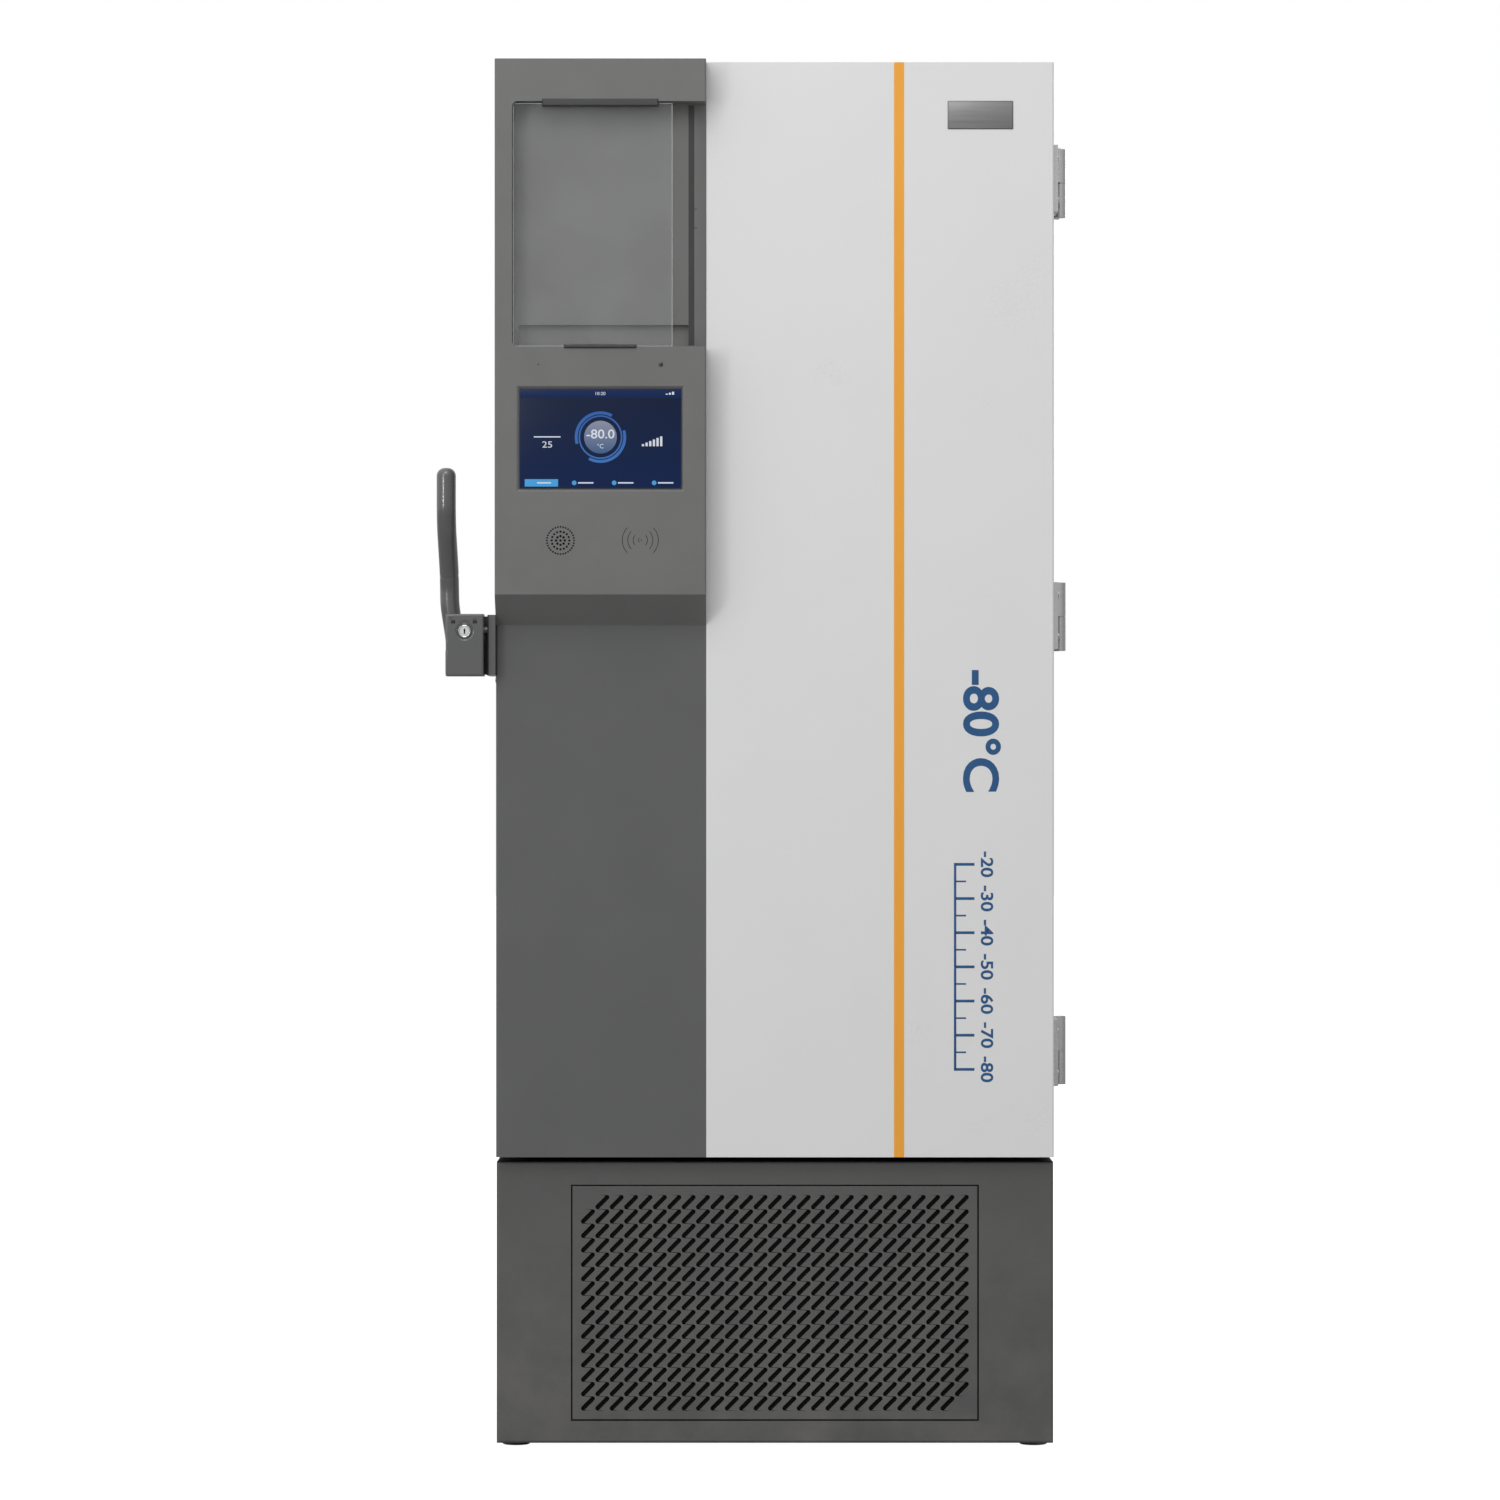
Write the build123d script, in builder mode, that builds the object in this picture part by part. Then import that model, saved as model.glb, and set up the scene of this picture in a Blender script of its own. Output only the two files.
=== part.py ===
from build123d import *
import os
from math import cos, radians, sin, sqrt

# Upright ultra low temperature freezer. Millimetres, +X right, +Y to the back, +Z up.
# The origin is on the floor, under the middle of the cabinet's width and depth.

# Cabinet: outer box, insulated walls and the sheet they are folded from
cabinet_width = 800.0
cabinet_depth = 840.0
overall_height = 1990.0
wall_thickness = 120.0
floor_thickness = 110.0
sheet = 2.0
liner_sheet = 1.5
breaker_depth = 6.0
cabinet_edge_radius = 6.0

# Base: the machine compartment under the store
skirt_clearance = 8.0
base_height = 404.0
pan_height = 68.0
pan_sheet = 3.0
pan_rim = 25.0
bezel_depth = 30.0
bezel_wall = 3.0
bezel_edge_radius = 4.5

# Door: one thick leaf over the whole store
door_gap = 8.0
door_step = 16.0
door_thickness = 100.0
door_skin = 2.0
fascia_thickness = 4.0
fascia_edge_radius = 3.0
plug_depth = 40.0
plug_clearance = 8.0
plug_taper = 4.0
gasket_height = 10.0
gasket_width = 30.0
gasket_inset = 15.0
gasket_foot_height = 4.0
gasket_bulb_inset = 5.0
seal_clearance = 0.3

# Door face: where its panels end, measured from the cabinet's middle
dark_panel_edge = -98.5
stripe_left = 170.6
stripe_width = 14.7
stripe_depth = 1.2
badge_centre_x = 294.5
badge_drop = 75.7
badge_width = 93.9
badge_height = 40.5
badge_thickness = 1.2

# Control module: the thick moulding on the upper left of the door
module_height = 807.0
module_projection = 45.0
module_slope_height = 42.6
module_edge_radius = 2.5
module_wall = 6.0

# Document niche in the module, open to the right
niche_left = -375.0
niche_drop = 61.0
niche_height = 349.7
niche_depth = 32.0
niche_foot_height = 32.7
niche_foot_depth = 8.0
niche_corner_radius = 8.0
niche_ramp_width = 25.5
cover_width = 227.7
cover_thickness = 3.0
cover_corner_radius = 6.0
cover_inset = 3.0
cover_edge_gap = 1.0
cover_end_gap = 2.4
upper_clip_width = 166.3
upper_clip_height = 11.2
upper_clip_x = -249.3
lower_clip_width = 103.7
lower_clip_height = 5.7
clip_overlap = 2.9
clip_projection = 3.0
clip_taper = 30.0
upper_clip_overhang = 3.7

# Touch screen, loudspeaker and sensor lens in the module
screen_x = -249.05
screen_rise = 264.9
screen_width = 231.3
screen_height = 142.6
screen_bevel = 3.7
screen_bevel_depth = 3.0
screen_ledge = 6.0
screen_glass = 2.0
screen_body_depth = 14.0
speaker_x = -306.0
speaker_rise = 119.6
speaker_radius = 26.0
speaker_thickness = 10.0
speaker_sides = 24
lens_x = -162.7
lens_rise = 370.8
lens_radius = 3.3

# Door hinges: three lift-off hinges on the right side
hinge_low_rise = 149.0
hinge_high_drop = 165.0
hinge_axis_offset = 13.7
hinge_axis_depth = 90.0
hinge_barrel_radius = 8.0
hinge_pin_radius = 5.0
hinge_knuckle_height = 35.7
hinge_cap_height = 13.8
hinge_leaf_height = 96.0
hinge_leaf_thickness = 6.5
hinge_leaf_length = 70.0
knuckle_gap = 0.3
knuckle_side_gap = 1.0
running_clearance = 0.05
free_clearance = 0.3

# Handle: a bent tube on a lock block, which turns on a mount on the door's left side
mount_thickness = 11.5
mount_gap = 4.7
mount_depth = 100.0
mount_nose = 15.0
mount_end_inset = 1.0
block_width = 54.1
block_height = 89.0
block_drop = 73.7
block_depth = 48.0
block_projection = 36.0
block_edge_radius = 3.0
pivot_rise = 66.4
pivot_inset = 32.0
pivot_radius = 5.0
pivot_insertion = 12.0
grip_radius = 13.75
grip_top_rise = 298.3
grip_foot_rise = 37.7
grip_foot_inset = 10.8
grip_lower_inset = 2.3
grip_bend_low_rise = 140.7
grip_bend_high_rise = 222.7
grip_forward_reach = 44.0
grip_bend_cut = 10.0
grip_tip_height = 12.0
grip_shoulder_taper = 20.0
grip_crown_taper = 52.0
socket_depth = 28.0
lock_x_inset = 26.9
lock_rise = 64.1
lock_radius = 7.0
lock_depth = 32.0
lock_dish_radius = 13.0
lock_dish_depth = 3.0
lock_dish_taper = 50.0
keyway_width = 2.0
keyway_height = 8.5
keyway_depth = 6.0

# Latch: the nose on the handle and the striker on the cabinet's side
nose_width = 16.0
nose_reach = 136.0
nose_tip_height = 12.0
nose_root_height = 40.0
nose_inset = 6.0
striker_radius = 5.0
striker_inset = 22.5
striker_length = 36.0
striker_gap = 0.4
keeper_plate = 4.0
keeper_length = 56.0
keeper_height = 70.0

# Grille over the condenser filter, in the middle of the base's front
grille_width = 582.0
grille_height = 335.4
grille_bottom = 42.0
grille_thickness = 2.5
grille_seam = 2.0
slot_pitch = 20.66
slot_columns = 27
slot_rows = 15
slot_length = 26.3
slot_width = 6.6
slot_angle = 45.0
slot_run_columns = 3
filter_thickness = 8.0
filter_lip = 8.0

# Store: liner fittings, shelves and inner doors
compartments = 4
shelf_lip = 18.0
shelf_sheet = 1.5
shelf_back_gap = 10.0
standard_width = 20.0
standard_depth = 4.0
standard_margin = 18.0
standard_end_inset = 80.0
shelf_side_gap = 1.0
clip_height = 12.0
clip_reach = 14.0
inner_door_thickness = 30.0
inner_door_side_gap = 4.0
inner_door_end_gap = 6.0
inner_door_split = 10.0
inner_door_setback = 18.0
inner_door_border = 30.0
inner_door_recess = 3.0
inner_door_recess_taper = 45.0
pull_width = 24.0
pull_height = 90.0
pull_depth = 12.0
pull_taper = 8.0
inner_pin_radius = 3.0
pin_sides = 8
inner_pin_inset = 8.0
inner_pin_insertion = 12.0
inner_bracket_sheet = 4.0
inner_bracket_length = 28.0
shelf_front_gap = 8.0

# Evaporator: a flat tube band wound round three sides of the liner
coil_levels = 6
coil_band_height = 16.0
coil_band_thickness = 6.0
coil_front_margin = 90.0
coil_end_margin = 150.0

# Machine compartment: its round shells have few sides, because the housing hides them
shell_sides = 20
condenser_width = 560.0
condenser_height = 280.0
condenser_depth = 48.0
condenser_gap = 8.0
tube_sheet = 3.0
fan_height = 216.0
fan_radius = 118.0
fan_tip_clearance = 7.0
fan_hub_radius = 34.0
fan_hub_length = 30.0
fan_blade_count = 5
fan_blade_pitch = 28.0
fan_blade_thickness = 2.5
fan_blade_chord = 56.0
fan_blade_root = 27.2
fan_blade_tip = 113.3
fan_shaft_insertion = 18.0
fan_shaft_radius = 5.0
shroud_sheet = 2.0
shroud_ring_depth = 30.0
motor_radius = 40.0
motor_length = 58.0
motor_gap = 6.0
motor_arm_width = 14.0
compressor_radius = 82.0
compressor_height = 215.0
compressor_shoulder = 24.0
compressor_foot = 190.0
compressor_foot_sheet = 4.0
grommet_half_width = 12.0
grommet_height = 14.0
high_stage_x = -250.0
low_stage_x = -40.0
compressor_y = 60.0
exchanger_width = 170.0
exchanger_depth = 170.0
exchanger_height = 290.0
exchanger_x = 255.0
exchanger_y = 20.0
control_box_width = 220.0
control_box_depth = 110.0
control_box_height = 180.0
control_box_x = -230.0
pipe_radius = 6.0
pipe_rise = 50.0
pipe_offset = 30.0
louvre_columns = 2
louvre_rows = 7
louvre_width = 190.0
louvre_height = 8.0
louvre_pitch = 22.0
louvre_column_pitch = 240.0
louvre_x = 100.0
louvre_drop = 152.0

# Back of the cabinet
inlet_width = 56.0
inlet_height = 44.0
inlet_depth = 40.0
inlet_flange = 3.0
inlet_rim = 6.0
inlet_side_inset = 70.0
inlet_drop = 82.0
inlet_pin_width = 2.0
inlet_pin_length = 11.0
inlet_pin_pitch = 11.2
port_x = -180.0
port_drop = 290.0
port_radius = 8.5
port_sides = 16
port_sleeve_wall = 3.5
port_flange_radius = 20.0
port_flange = 3.0
spacer_depth = 25.0
spacer_half_width = 22.0
spacer_taper = 8.0
spacer_side_inset = 70.0
spacer_low_rise = 288.0
spacer_high_drop = 190.0

# Running gear
castor_side_inset = 100.0
castor_end_inset = 85.0
castor_trail = 18.0
castor_wheel_radius = 25.0
castor_wheel_width = 20.0
castor_axle_radius = 4.0
castor_pad_size = 64.0
castor_pad = 4.0
castor_fork_wall = 3.0
castor_fork_crown = 6.0
castor_race_radius = 12.0
castor_race = 1.5
wheel_sides = 32
castor_side_gap = 1.0
foot_pad_radius = 20.0
foot_pad_height = 8.0
foot_stem_radius = 6.0
foot_side_inset = 26.0
foot_front_inset = 60.0

# Places worked out from the sizes above
half_width = cabinet_width / 2
base_front = -cabinet_depth / 2
back = cabinet_depth / 2
base_top = skirt_clearance + base_height
door_face = base_front - door_step
door_core_face = door_face + fascia_thickness
door_back = door_face + door_thickness
cabinet_front = door_back + gasket_height
door_bottom = base_top + door_gap
module_face = door_face - module_projection
store_half_width = half_width - wall_thickness
store_bottom = base_top + floor_thickness
store_top = overall_height - wall_thickness
store_back = back - wall_thickness
liner_front = cabinet_front + breaker_depth
module_bottom = overall_height - module_height
niche_top = overall_height - niche_drop
niche_bottom = niche_top - niche_height
screen_z = module_bottom + screen_rise
speaker_z = module_bottom + speaker_rise
lens_z = module_bottom + lens_rise
block_bottom = module_bottom - block_drop
pivot_height = block_bottom + pivot_rise
lock_height = block_bottom + lock_rise
grip_top = block_bottom + grip_top_rise
grip_bend_low = block_bottom + grip_bend_low_rise
grip_bend_high = block_bottom + grip_bend_high_rise
badge_centre_z = overall_height - badge_drop
hinge_low = door_bottom + hinge_low_rise
hinge_high = overall_height - hinge_high_drop
hinge_heights = (hinge_low, (hinge_low + hinge_high) / 2, hinge_high)
louvre_z = base_top - louvre_drop
inlet_x = inlet_side_inset - half_width
inlet_z = base_top - inlet_drop
port_z = overall_height - port_drop
spacer_x = half_width - spacer_side_inset
castor_x = half_width - castor_side_inset
castor_y = back - castor_end_inset
foot_x = half_width - foot_side_inset
foot_y = base_front + foot_front_inset


def front(y):
    """The upright plane that faces the user at depth y, with X and Z as its own axes."""
    return Plane.XZ.offset(-y)


def side(x):
    """The upright plane that faces right at x, with Y and Z as its own axes."""
    return Plane.YZ.offset(x)


def span(low_1, high_1, low_2, high_2, mode=Mode.ADD):
    """A rectangle between two corners, in the sketch that is open."""
    with Locations(((low_1 + high_1) / 2, (low_2 + high_2) / 2)):
        Rectangle(high_1 - low_1, high_2 - low_2, mode=mode)


def finish(part, name):
    """Labels a finished piece and writes its file."""
    part.label = name
    export_step(part, f"parts/{name}.step")


os.makedirs("parts", exist_ok=True)

# Base pan: the folded floor that carries the machinery, with a welded pad over each castor
with BuildPart() as base_pan:
    pan_front = base_front + bezel_depth
    with BuildSketch(Plane.XY.offset(pan_height)):
        span(-half_width + sheet, half_width - sheet, pan_front, back - sheet)
    extrude(amount=pan_rim)
    offset(amount=-pan_sheet, openings=base_pan.faces().sort_by(Axis.Z)[-1])
    with BuildSketch(Plane.XY.offset(pan_height - castor_pad)):
        with GridLocations(2 * castor_x, 2 * castor_y, 2, 2):
            Rectangle(castor_pad_size, castor_pad_size)
    extrude(amount=castor_pad)
finish(base_pan.part, "base_pan")
pan_top = pan_height + pan_sheet

# Machine housing: sides, back and deck in one folded sheet, louvred behind the compressors
with BuildPart() as machine_housing:
    with BuildSketch(Plane.XY.offset(skirt_clearance)):
        span(-half_width, half_width, pan_front, back)
    extrude(amount=base_height)
    open_sides = [machine_housing.faces().sort_by(Axis.Z)[0], machine_housing.faces().sort_by(Axis.Y)[0]]
    offset(amount=-sheet, openings=open_sides)
    with BuildSketch(front(back)):
        with Locations((louvre_x, louvre_z)):
            with GridLocations(louvre_column_pitch, louvre_pitch, louvre_columns, louvre_rows):
                Rectangle(louvre_width, louvre_height)
        with Locations((inlet_x, inlet_z)):
            Rectangle(inlet_width, inlet_height)
    extrude(amount=sheet, mode=Mode.SUBTRACT)
finish(machine_housing.part, "machine_housing")

# Base front panel: a deep moulded bezel round the grille
with BuildPart() as base_front_panel:
    with BuildSketch(front(base_front)):
        span(-half_width, half_width, skirt_clearance, base_top)
    extrude(amount=-bezel_depth)
    face = base_front_panel.faces().sort_by(Axis.Y)[0]
    fillet(face.edges(), radius=bezel_edge_radius)
    offset(amount=-bezel_wall, openings=base_front_panel.faces().sort_by(Axis.Y)[-1])
    grille_middle = grille_bottom + grille_height / 2
    with BuildSketch(front(base_front)):
        with Locations((0, grille_middle)):
            Rectangle(grille_width + 2 * grille_seam, grille_height + 2 * grille_seam)
    extrude(amount=-bezel_wall, mode=Mode.SUBTRACT)
finish(base_front_panel.part, "base_front_panel")

# Grille panel: a flush plate over the filter, with rows of slots that climb to the right.
# The slots in line within each group of columns are joined end to end into one long slot.
with BuildPart() as grille_panel:
    with BuildSketch(front(base_front)):
        with Locations((0, grille_middle)):
            Rectangle(grille_width, grille_height)
            slot_step = slot_pitch * sqrt(2)
            for first_column in range(0, slot_columns, slot_run_columns):
                for first_row in range(1 - slot_run_columns, slot_rows):
                    low = max(0, -first_row)
                    high = min(slot_run_columns - 1, slot_rows - 1 - first_row)
                    if first_column == 0 and first_row == slot_rows - 1:
                        continue
                    if first_column == slot_columns - slot_run_columns and first_row == 1 - slot_run_columns:
                        continue
                    middle = (low + high) / 2
                    across = (first_column + middle - (slot_columns - 1) / 2) * slot_pitch
                    up = (first_row + middle - (slot_rows - 1) / 2) * slot_pitch
                    run_length = slot_length + (high - low) * slot_step
                    with Locations((across, up)):
                        Rectangle(run_length, slot_width, rotation=slot_angle, mode=Mode.SUBTRACT)
    extrude(amount=-grille_thickness)
finish(grille_panel.part, "grille_panel")

# Air filter: a washable pad in a frame, pressed on the bezel's inner face behind the grille
with BuildPart() as air_filter:
    filter_front = base_front + bezel_wall
    with BuildSketch(front(filter_front)):
        with Locations((0, grille_middle)):
            Rectangle(
                grille_width + 2 * (grille_seam + filter_lip),
                grille_height + 2 * (grille_seam + filter_lip),
            )
    extrude(amount=-filter_thickness)
finish(air_filter.part, "air_filter")

# Outer cabinet: painted steel box, open at the front
with BuildPart() as outer_cabinet:
    with BuildSketch(Plane.XY.offset(base_top)):
        span(-half_width, half_width, cabinet_front, back)
    extrude(amount=overall_height - base_top)
    rear_corners = outer_cabinet.edges().filter_by(Axis.Z).group_by(Axis.Y)[-1]
    fillet(rear_corners, radius=cabinet_edge_radius)
    offset(amount=-sheet, openings=outer_cabinet.faces().sort_by(Axis.Y)[0])
    with BuildSketch(front(back)):
        with Locations((port_x, port_z)):
            RegularPolygon(port_radius + port_sleeve_wall + free_clearance, port_sides)
    extrude(amount=sheet, mode=Mode.SUBTRACT)
finish(outer_cabinet.part, "outer_cabinet")

# Breaker frame: the plastic rim that joins the outer skin to the cold liner
with BuildPart() as breaker_frame:
    with BuildSketch(front(cabinet_front)):
        span(-half_width + sheet, half_width - sheet, base_top + sheet, overall_height - sheet)
        span(-store_half_width, store_half_width, store_bottom, store_top, mode=Mode.SUBTRACT)
    extrude(amount=-breaker_depth)
finish(breaker_frame.part, "breaker_frame")

# Inner liner: the stainless box that holds the samples
with BuildPart() as inner_liner:
    with BuildSketch(front(liner_front)):
        span(
            -store_half_width - liner_sheet,
            store_half_width + liner_sheet,
            store_bottom - liner_sheet,
            store_top + liner_sheet,
        )
    extrude(amount=-(store_back + liner_sheet - liner_front))
    offset(amount=-liner_sheet, openings=inner_liner.faces().sort_by(Axis.Y)[0])
    with BuildSketch(front(store_back)):
        with Locations((port_x, port_z)):
            RegularPolygon(port_radius + port_sleeve_wall + free_clearance, port_sides)
    extrude(amount=-liner_sheet, mode=Mode.SUBTRACT)
finish(inner_liner.part, "inner_liner")

# Evaporator coil: flat tube bands round the liner's sides and back, linked at alternate ends
with BuildPart() as evaporator_coil:
    coil_inner = store_half_width + liner_sheet
    coil_outer = coil_inner + coil_band_thickness
    coil_front = liner_front + coil_front_margin
    coil_back = store_back + liner_sheet
    coil_low = store_bottom + coil_end_margin
    coil_rise = (store_top - store_bottom - 2 * coil_end_margin) / (coil_levels - 1)
    for level in range(coil_levels):
        with BuildSketch(Plane.XY.offset(coil_low + level * coil_rise)):
            span(-coil_outer, coil_outer, coil_front, coil_back + coil_band_thickness)
            span(-coil_inner, coil_inner, coil_front, coil_back, mode=Mode.SUBTRACT)
        extrude(amount=coil_band_height)
    for level in range(coil_levels - 1):
        end = 1 if level % 2 else -1
        with BuildSketch(Plane.XY.offset(coil_low + level * coil_rise)):
            with Locations((end * (coil_inner + coil_outer) / 2, coil_front + coil_band_height / 2)):
                Rectangle(coil_band_thickness, coil_band_height)
        extrude(amount=coil_rise + coil_band_height)
finish(evaporator_coil.part, "evaporator_coil")

# Cabinet insulation: five foam slabs between skin and liner, with the coil's channels in them
foam_side = half_width - sheet
foam_rear = back - sheet
cavity_low = store_bottom - liner_sheet
cavity_high = store_top + liner_sheet
slab_places = (
    (-foam_side, foam_side, liner_front, foam_rear, base_top + sheet, cavity_low),
    (-foam_side, foam_side, liner_front, foam_rear, cavity_high, overall_height - sheet),
    (-foam_side, foam_side, coil_back, foam_rear, cavity_low, cavity_high),
    (-foam_side, -coil_inner, liner_front, coil_back, cavity_low, cavity_high),
    (coil_inner, foam_side, liner_front, coil_back, cavity_low, cavity_high),
)
foam_slabs = []
for x_low, x_high, y_low, y_high, z_low, z_high in slab_places:
    with BuildPart() as foam_slab:
        with BuildSketch(Plane.XY.offset(z_low)):
            span(x_low, x_high, y_low, y_high)
        extrude(amount=z_high - z_low)
        if y_high == foam_rear:
            rear_corners = foam_slab.edges().filter_by(Axis.Z).group_by(Axis.Y)[-1]
            chamfer(rear_corners, length=cabinet_edge_radius)
        with BuildSketch(front(back)):
            with Locations((port_x, port_z)):
                RegularPolygon(port_radius + port_sleeve_wall + free_clearance, port_sides)
        extrude(amount=wall_thickness, mode=Mode.SUBTRACT)
        add(evaporator_coil.part, mode=Mode.SUBTRACT)
    foam_slabs.append(foam_slab.part)
finish(Compound(children=foam_slabs), "cabinet_insulation")

# Access port: a sleeve through the back wall for probes, closed by a soft stopper
with BuildPart() as access_port:
    sleeve_radius = port_radius + port_sleeve_wall
    with BuildSketch(front(store_back)):
        with Locations((port_x, port_z)):
            RegularPolygon(sleeve_radius, port_sides)
            RegularPolygon(port_radius, port_sides, mode=Mode.SUBTRACT)
    extrude(amount=-(back - store_back))
    with BuildSketch(front(back)):
        with Locations((port_x, port_z)):
            RegularPolygon(port_flange_radius, port_sides)
            RegularPolygon(port_radius, port_sides, mode=Mode.SUBTRACT)
    extrude(amount=-port_flange)
with BuildPart() as port_stopper:
    with BuildSketch(front(store_back)):
        with Locations((port_x, port_z)):
            RegularPolygon(port_radius - free_clearance, port_sides)
    extrude(amount=-(back - store_back + port_flange))
    with BuildSketch(front(back + port_flange)):
        with Locations((port_x, port_z)):
            RegularPolygon(sleeve_radius, port_sides)
    extrude(amount=-port_flange)
finish(Compound(children=[access_port.part, port_stopper.part]), "access_port")

# Shelf standards: four channels on the side walls, with a clip under each shelf corner
shelf_spacing = (store_top - store_bottom) / compartments
shelf_tops = [store_bottom + level * shelf_spacing for level in range(1, compartments)]
inner_door_face = cabinet_front + plug_depth - gasket_height + inner_door_setback
inner_door_rear = inner_door_face + inner_door_thickness
shelf_front = inner_door_rear + shelf_front_gap
shelf_back = store_back - shelf_back_gap
standard_places = (shelf_front + standard_end_inset, shelf_back - standard_end_inset)
with BuildPart() as shelf_standards:
    for hand in (-1, 1):
        wall = hand * store_half_width
        for y in standard_places:
            with BuildSketch(Plane.XY.offset(store_bottom + standard_margin)):
                with Locations((wall - hand * standard_depth / 2, y)):
                    Rectangle(standard_depth, standard_width)
            extrude(amount=store_top - store_bottom - 2 * standard_margin)
            for shelf_top in shelf_tops:
                with BuildSketch(Plane.XY.offset(shelf_top - shelf_sheet - clip_height)):
                    with Locations((wall - hand * (standard_depth + clip_reach) / 2, y)):
                        Rectangle(standard_depth + clip_reach, standard_width - 2 * sheet)
                extrude(amount=clip_height)
finish(shelf_standards.part, "shelf_standards")

# Shelves: stainless trays with folded lips, one on each level of clips
shelf_half_width = store_half_width - standard_depth - shelf_side_gap
for shelf_name, shelf_top in zip(("shelf_lower", "shelf_middle", "shelf_upper"), shelf_tops):
    with BuildPart() as shelf:
        with BuildSketch(side(-shelf_half_width)):
            span(shelf_front, shelf_back, shelf_top - shelf_lip, shelf_top)
            span(
                shelf_front + shelf_sheet,
                shelf_back - shelf_sheet,
                shelf_top - shelf_lip,
                shelf_top - shelf_sheet,
                mode=Mode.SUBTRACT,
            )
        extrude(amount=2 * shelf_half_width)
    finish(shelf.part, shelf_name)

# Inner doors: two foamed leaves inside the opening, each on a pair of pivot pins
inner_door_half_width = store_half_width - inner_door_side_gap
inner_door_middle = (store_bottom + store_top) / 2
inner_door_spans = {
    "inner_door_lower": (store_bottom + inner_door_end_gap, inner_door_middle - inner_door_split / 2),
    "inner_door_upper": (inner_door_middle + inner_door_split / 2, store_top - inner_door_end_gap),
}
inner_pin_x = inner_door_half_width - inner_pin_inset
inner_pin_y = inner_door_face + inner_pin_inset
for inner_name, (leaf_low, leaf_high) in inner_door_spans.items():
    with BuildPart() as inner_door:
        with BuildSketch(front(inner_door_face)):
            span(-inner_door_half_width, inner_door_half_width, leaf_low, leaf_high)
        extrude(amount=-inner_door_thickness)
        with BuildSketch(front(inner_door_face)):
            span(
                -inner_door_half_width + 2 * inner_door_border,
                inner_door_half_width - inner_door_border,
                leaf_low + inner_door_border,
                leaf_high - inner_door_border,
            )
        extrude(amount=-inner_door_recess, taper=inner_door_recess_taper, mode=Mode.SUBTRACT)
        with BuildSketch(front(inner_door_face)):
            with Locations((-inner_door_half_width + inner_door_border, (leaf_low + leaf_high) / 2)):
                Rectangle(pull_width, pull_height)
        extrude(amount=-pull_depth, taper=pull_taper, mode=Mode.SUBTRACT)
        for hole_base in (leaf_low, leaf_high - inner_pin_insertion - free_clearance):
            with BuildSketch(Plane.XY.offset(hole_base)):
                with Locations((inner_pin_x, inner_pin_y)):
                    RegularPolygon(inner_pin_radius + running_clearance, pin_sides, major_radius=False)
            extrude(amount=inner_pin_insertion + free_clearance, mode=Mode.SUBTRACT)
    finish(inner_door.part, inner_name)

# Inner hinge brackets: plates on the liner's right wall with the inner doors' pivot pins
split_plate_base = inner_door_middle - inner_bracket_sheet / 2
bracket_plates = (store_bottom, split_plate_base, store_top - inner_bracket_sheet)
pin_spans = (
    (store_bottom, store_bottom + inner_door_end_gap + inner_pin_insertion),
    (
        inner_door_middle - inner_door_split / 2 - inner_pin_insertion,
        inner_door_middle + inner_door_split / 2 + inner_pin_insertion,
    ),
    (store_top - inner_door_end_gap - inner_pin_insertion, store_top),
)
with BuildPart() as inner_hinge_brackets:
    for plate_base, (pin_low, pin_high) in zip(bracket_plates, pin_spans):
        with BuildSketch(Plane.XY.offset(plate_base)):
            span(
                store_half_width - inner_bracket_length,
                store_half_width,
                inner_pin_y - inner_bracket_length / 2,
                inner_pin_y + inner_bracket_length / 2,
            )
        extrude(amount=inner_bracket_sheet)
        with BuildSketch(Plane.XY.offset(pin_low)):
            with Locations((inner_pin_x, inner_pin_y)):
                Circle(inner_pin_radius)
        extrude(amount=pin_high - pin_low)
finish(inner_hinge_brackets.part, "inner_hinge_brackets")

# Door shell: the folded steel pan of the outer door
with BuildPart() as door_shell:
    with BuildSketch(front(door_core_face)):
        span(-half_width, half_width, door_bottom, overall_height)
    extrude(amount=-(door_back - door_core_face))
    offset(amount=-door_skin, openings=door_shell.faces().sort_by(Axis.Y)[-1])
finish(door_shell.part, "door_shell")

# Door liner: a formed plastic sheet whose raised middle plugs the cabinet's mouth
plug_half_width = store_half_width - plug_clearance
plug_bottom = store_bottom + plug_clearance
plug_top = store_top - plug_clearance
liner_plane = door_back - door_skin
with BuildPart() as door_liner:
    with BuildSketch(front(liner_plane)):
        span(
            -half_width + door_skin,
            half_width - door_skin,
            door_bottom + door_skin,
            overall_height - door_skin,
        )
    extrude(amount=-door_skin)
    with BuildSketch(front(door_back)):
        span(-plug_half_width, plug_half_width, plug_bottom, plug_top)
    extrude(amount=-plug_depth, taper=plug_taper)
    with BuildSketch(front(liner_plane)):
        span(
            -plug_half_width + door_skin,
            plug_half_width - door_skin,
            plug_bottom + door_skin,
            plug_top - door_skin,
        )
    extrude(amount=-plug_depth, taper=plug_taper, mode=Mode.SUBTRACT)
finish(door_liner.part, "door_liner")

# Door insulation: foam that fills the shell and the liner's plug
with BuildPart() as door_insulation:
    with BuildSketch(front(door_core_face + door_skin)):
        span(
            -half_width + door_skin,
            half_width - door_skin,
            door_bottom + door_skin,
            overall_height - door_skin,
        )
    extrude(amount=-(liner_plane - door_core_face - door_skin))
    with BuildSketch(front(liner_plane)):
        span(
            -plug_half_width + door_skin,
            plug_half_width - door_skin,
            plug_bottom + door_skin,
            plug_top - door_skin,
        )
    extrude(amount=-plug_depth, taper=plug_taper)
finish(door_insulation.part, "door_insulation")

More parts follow.
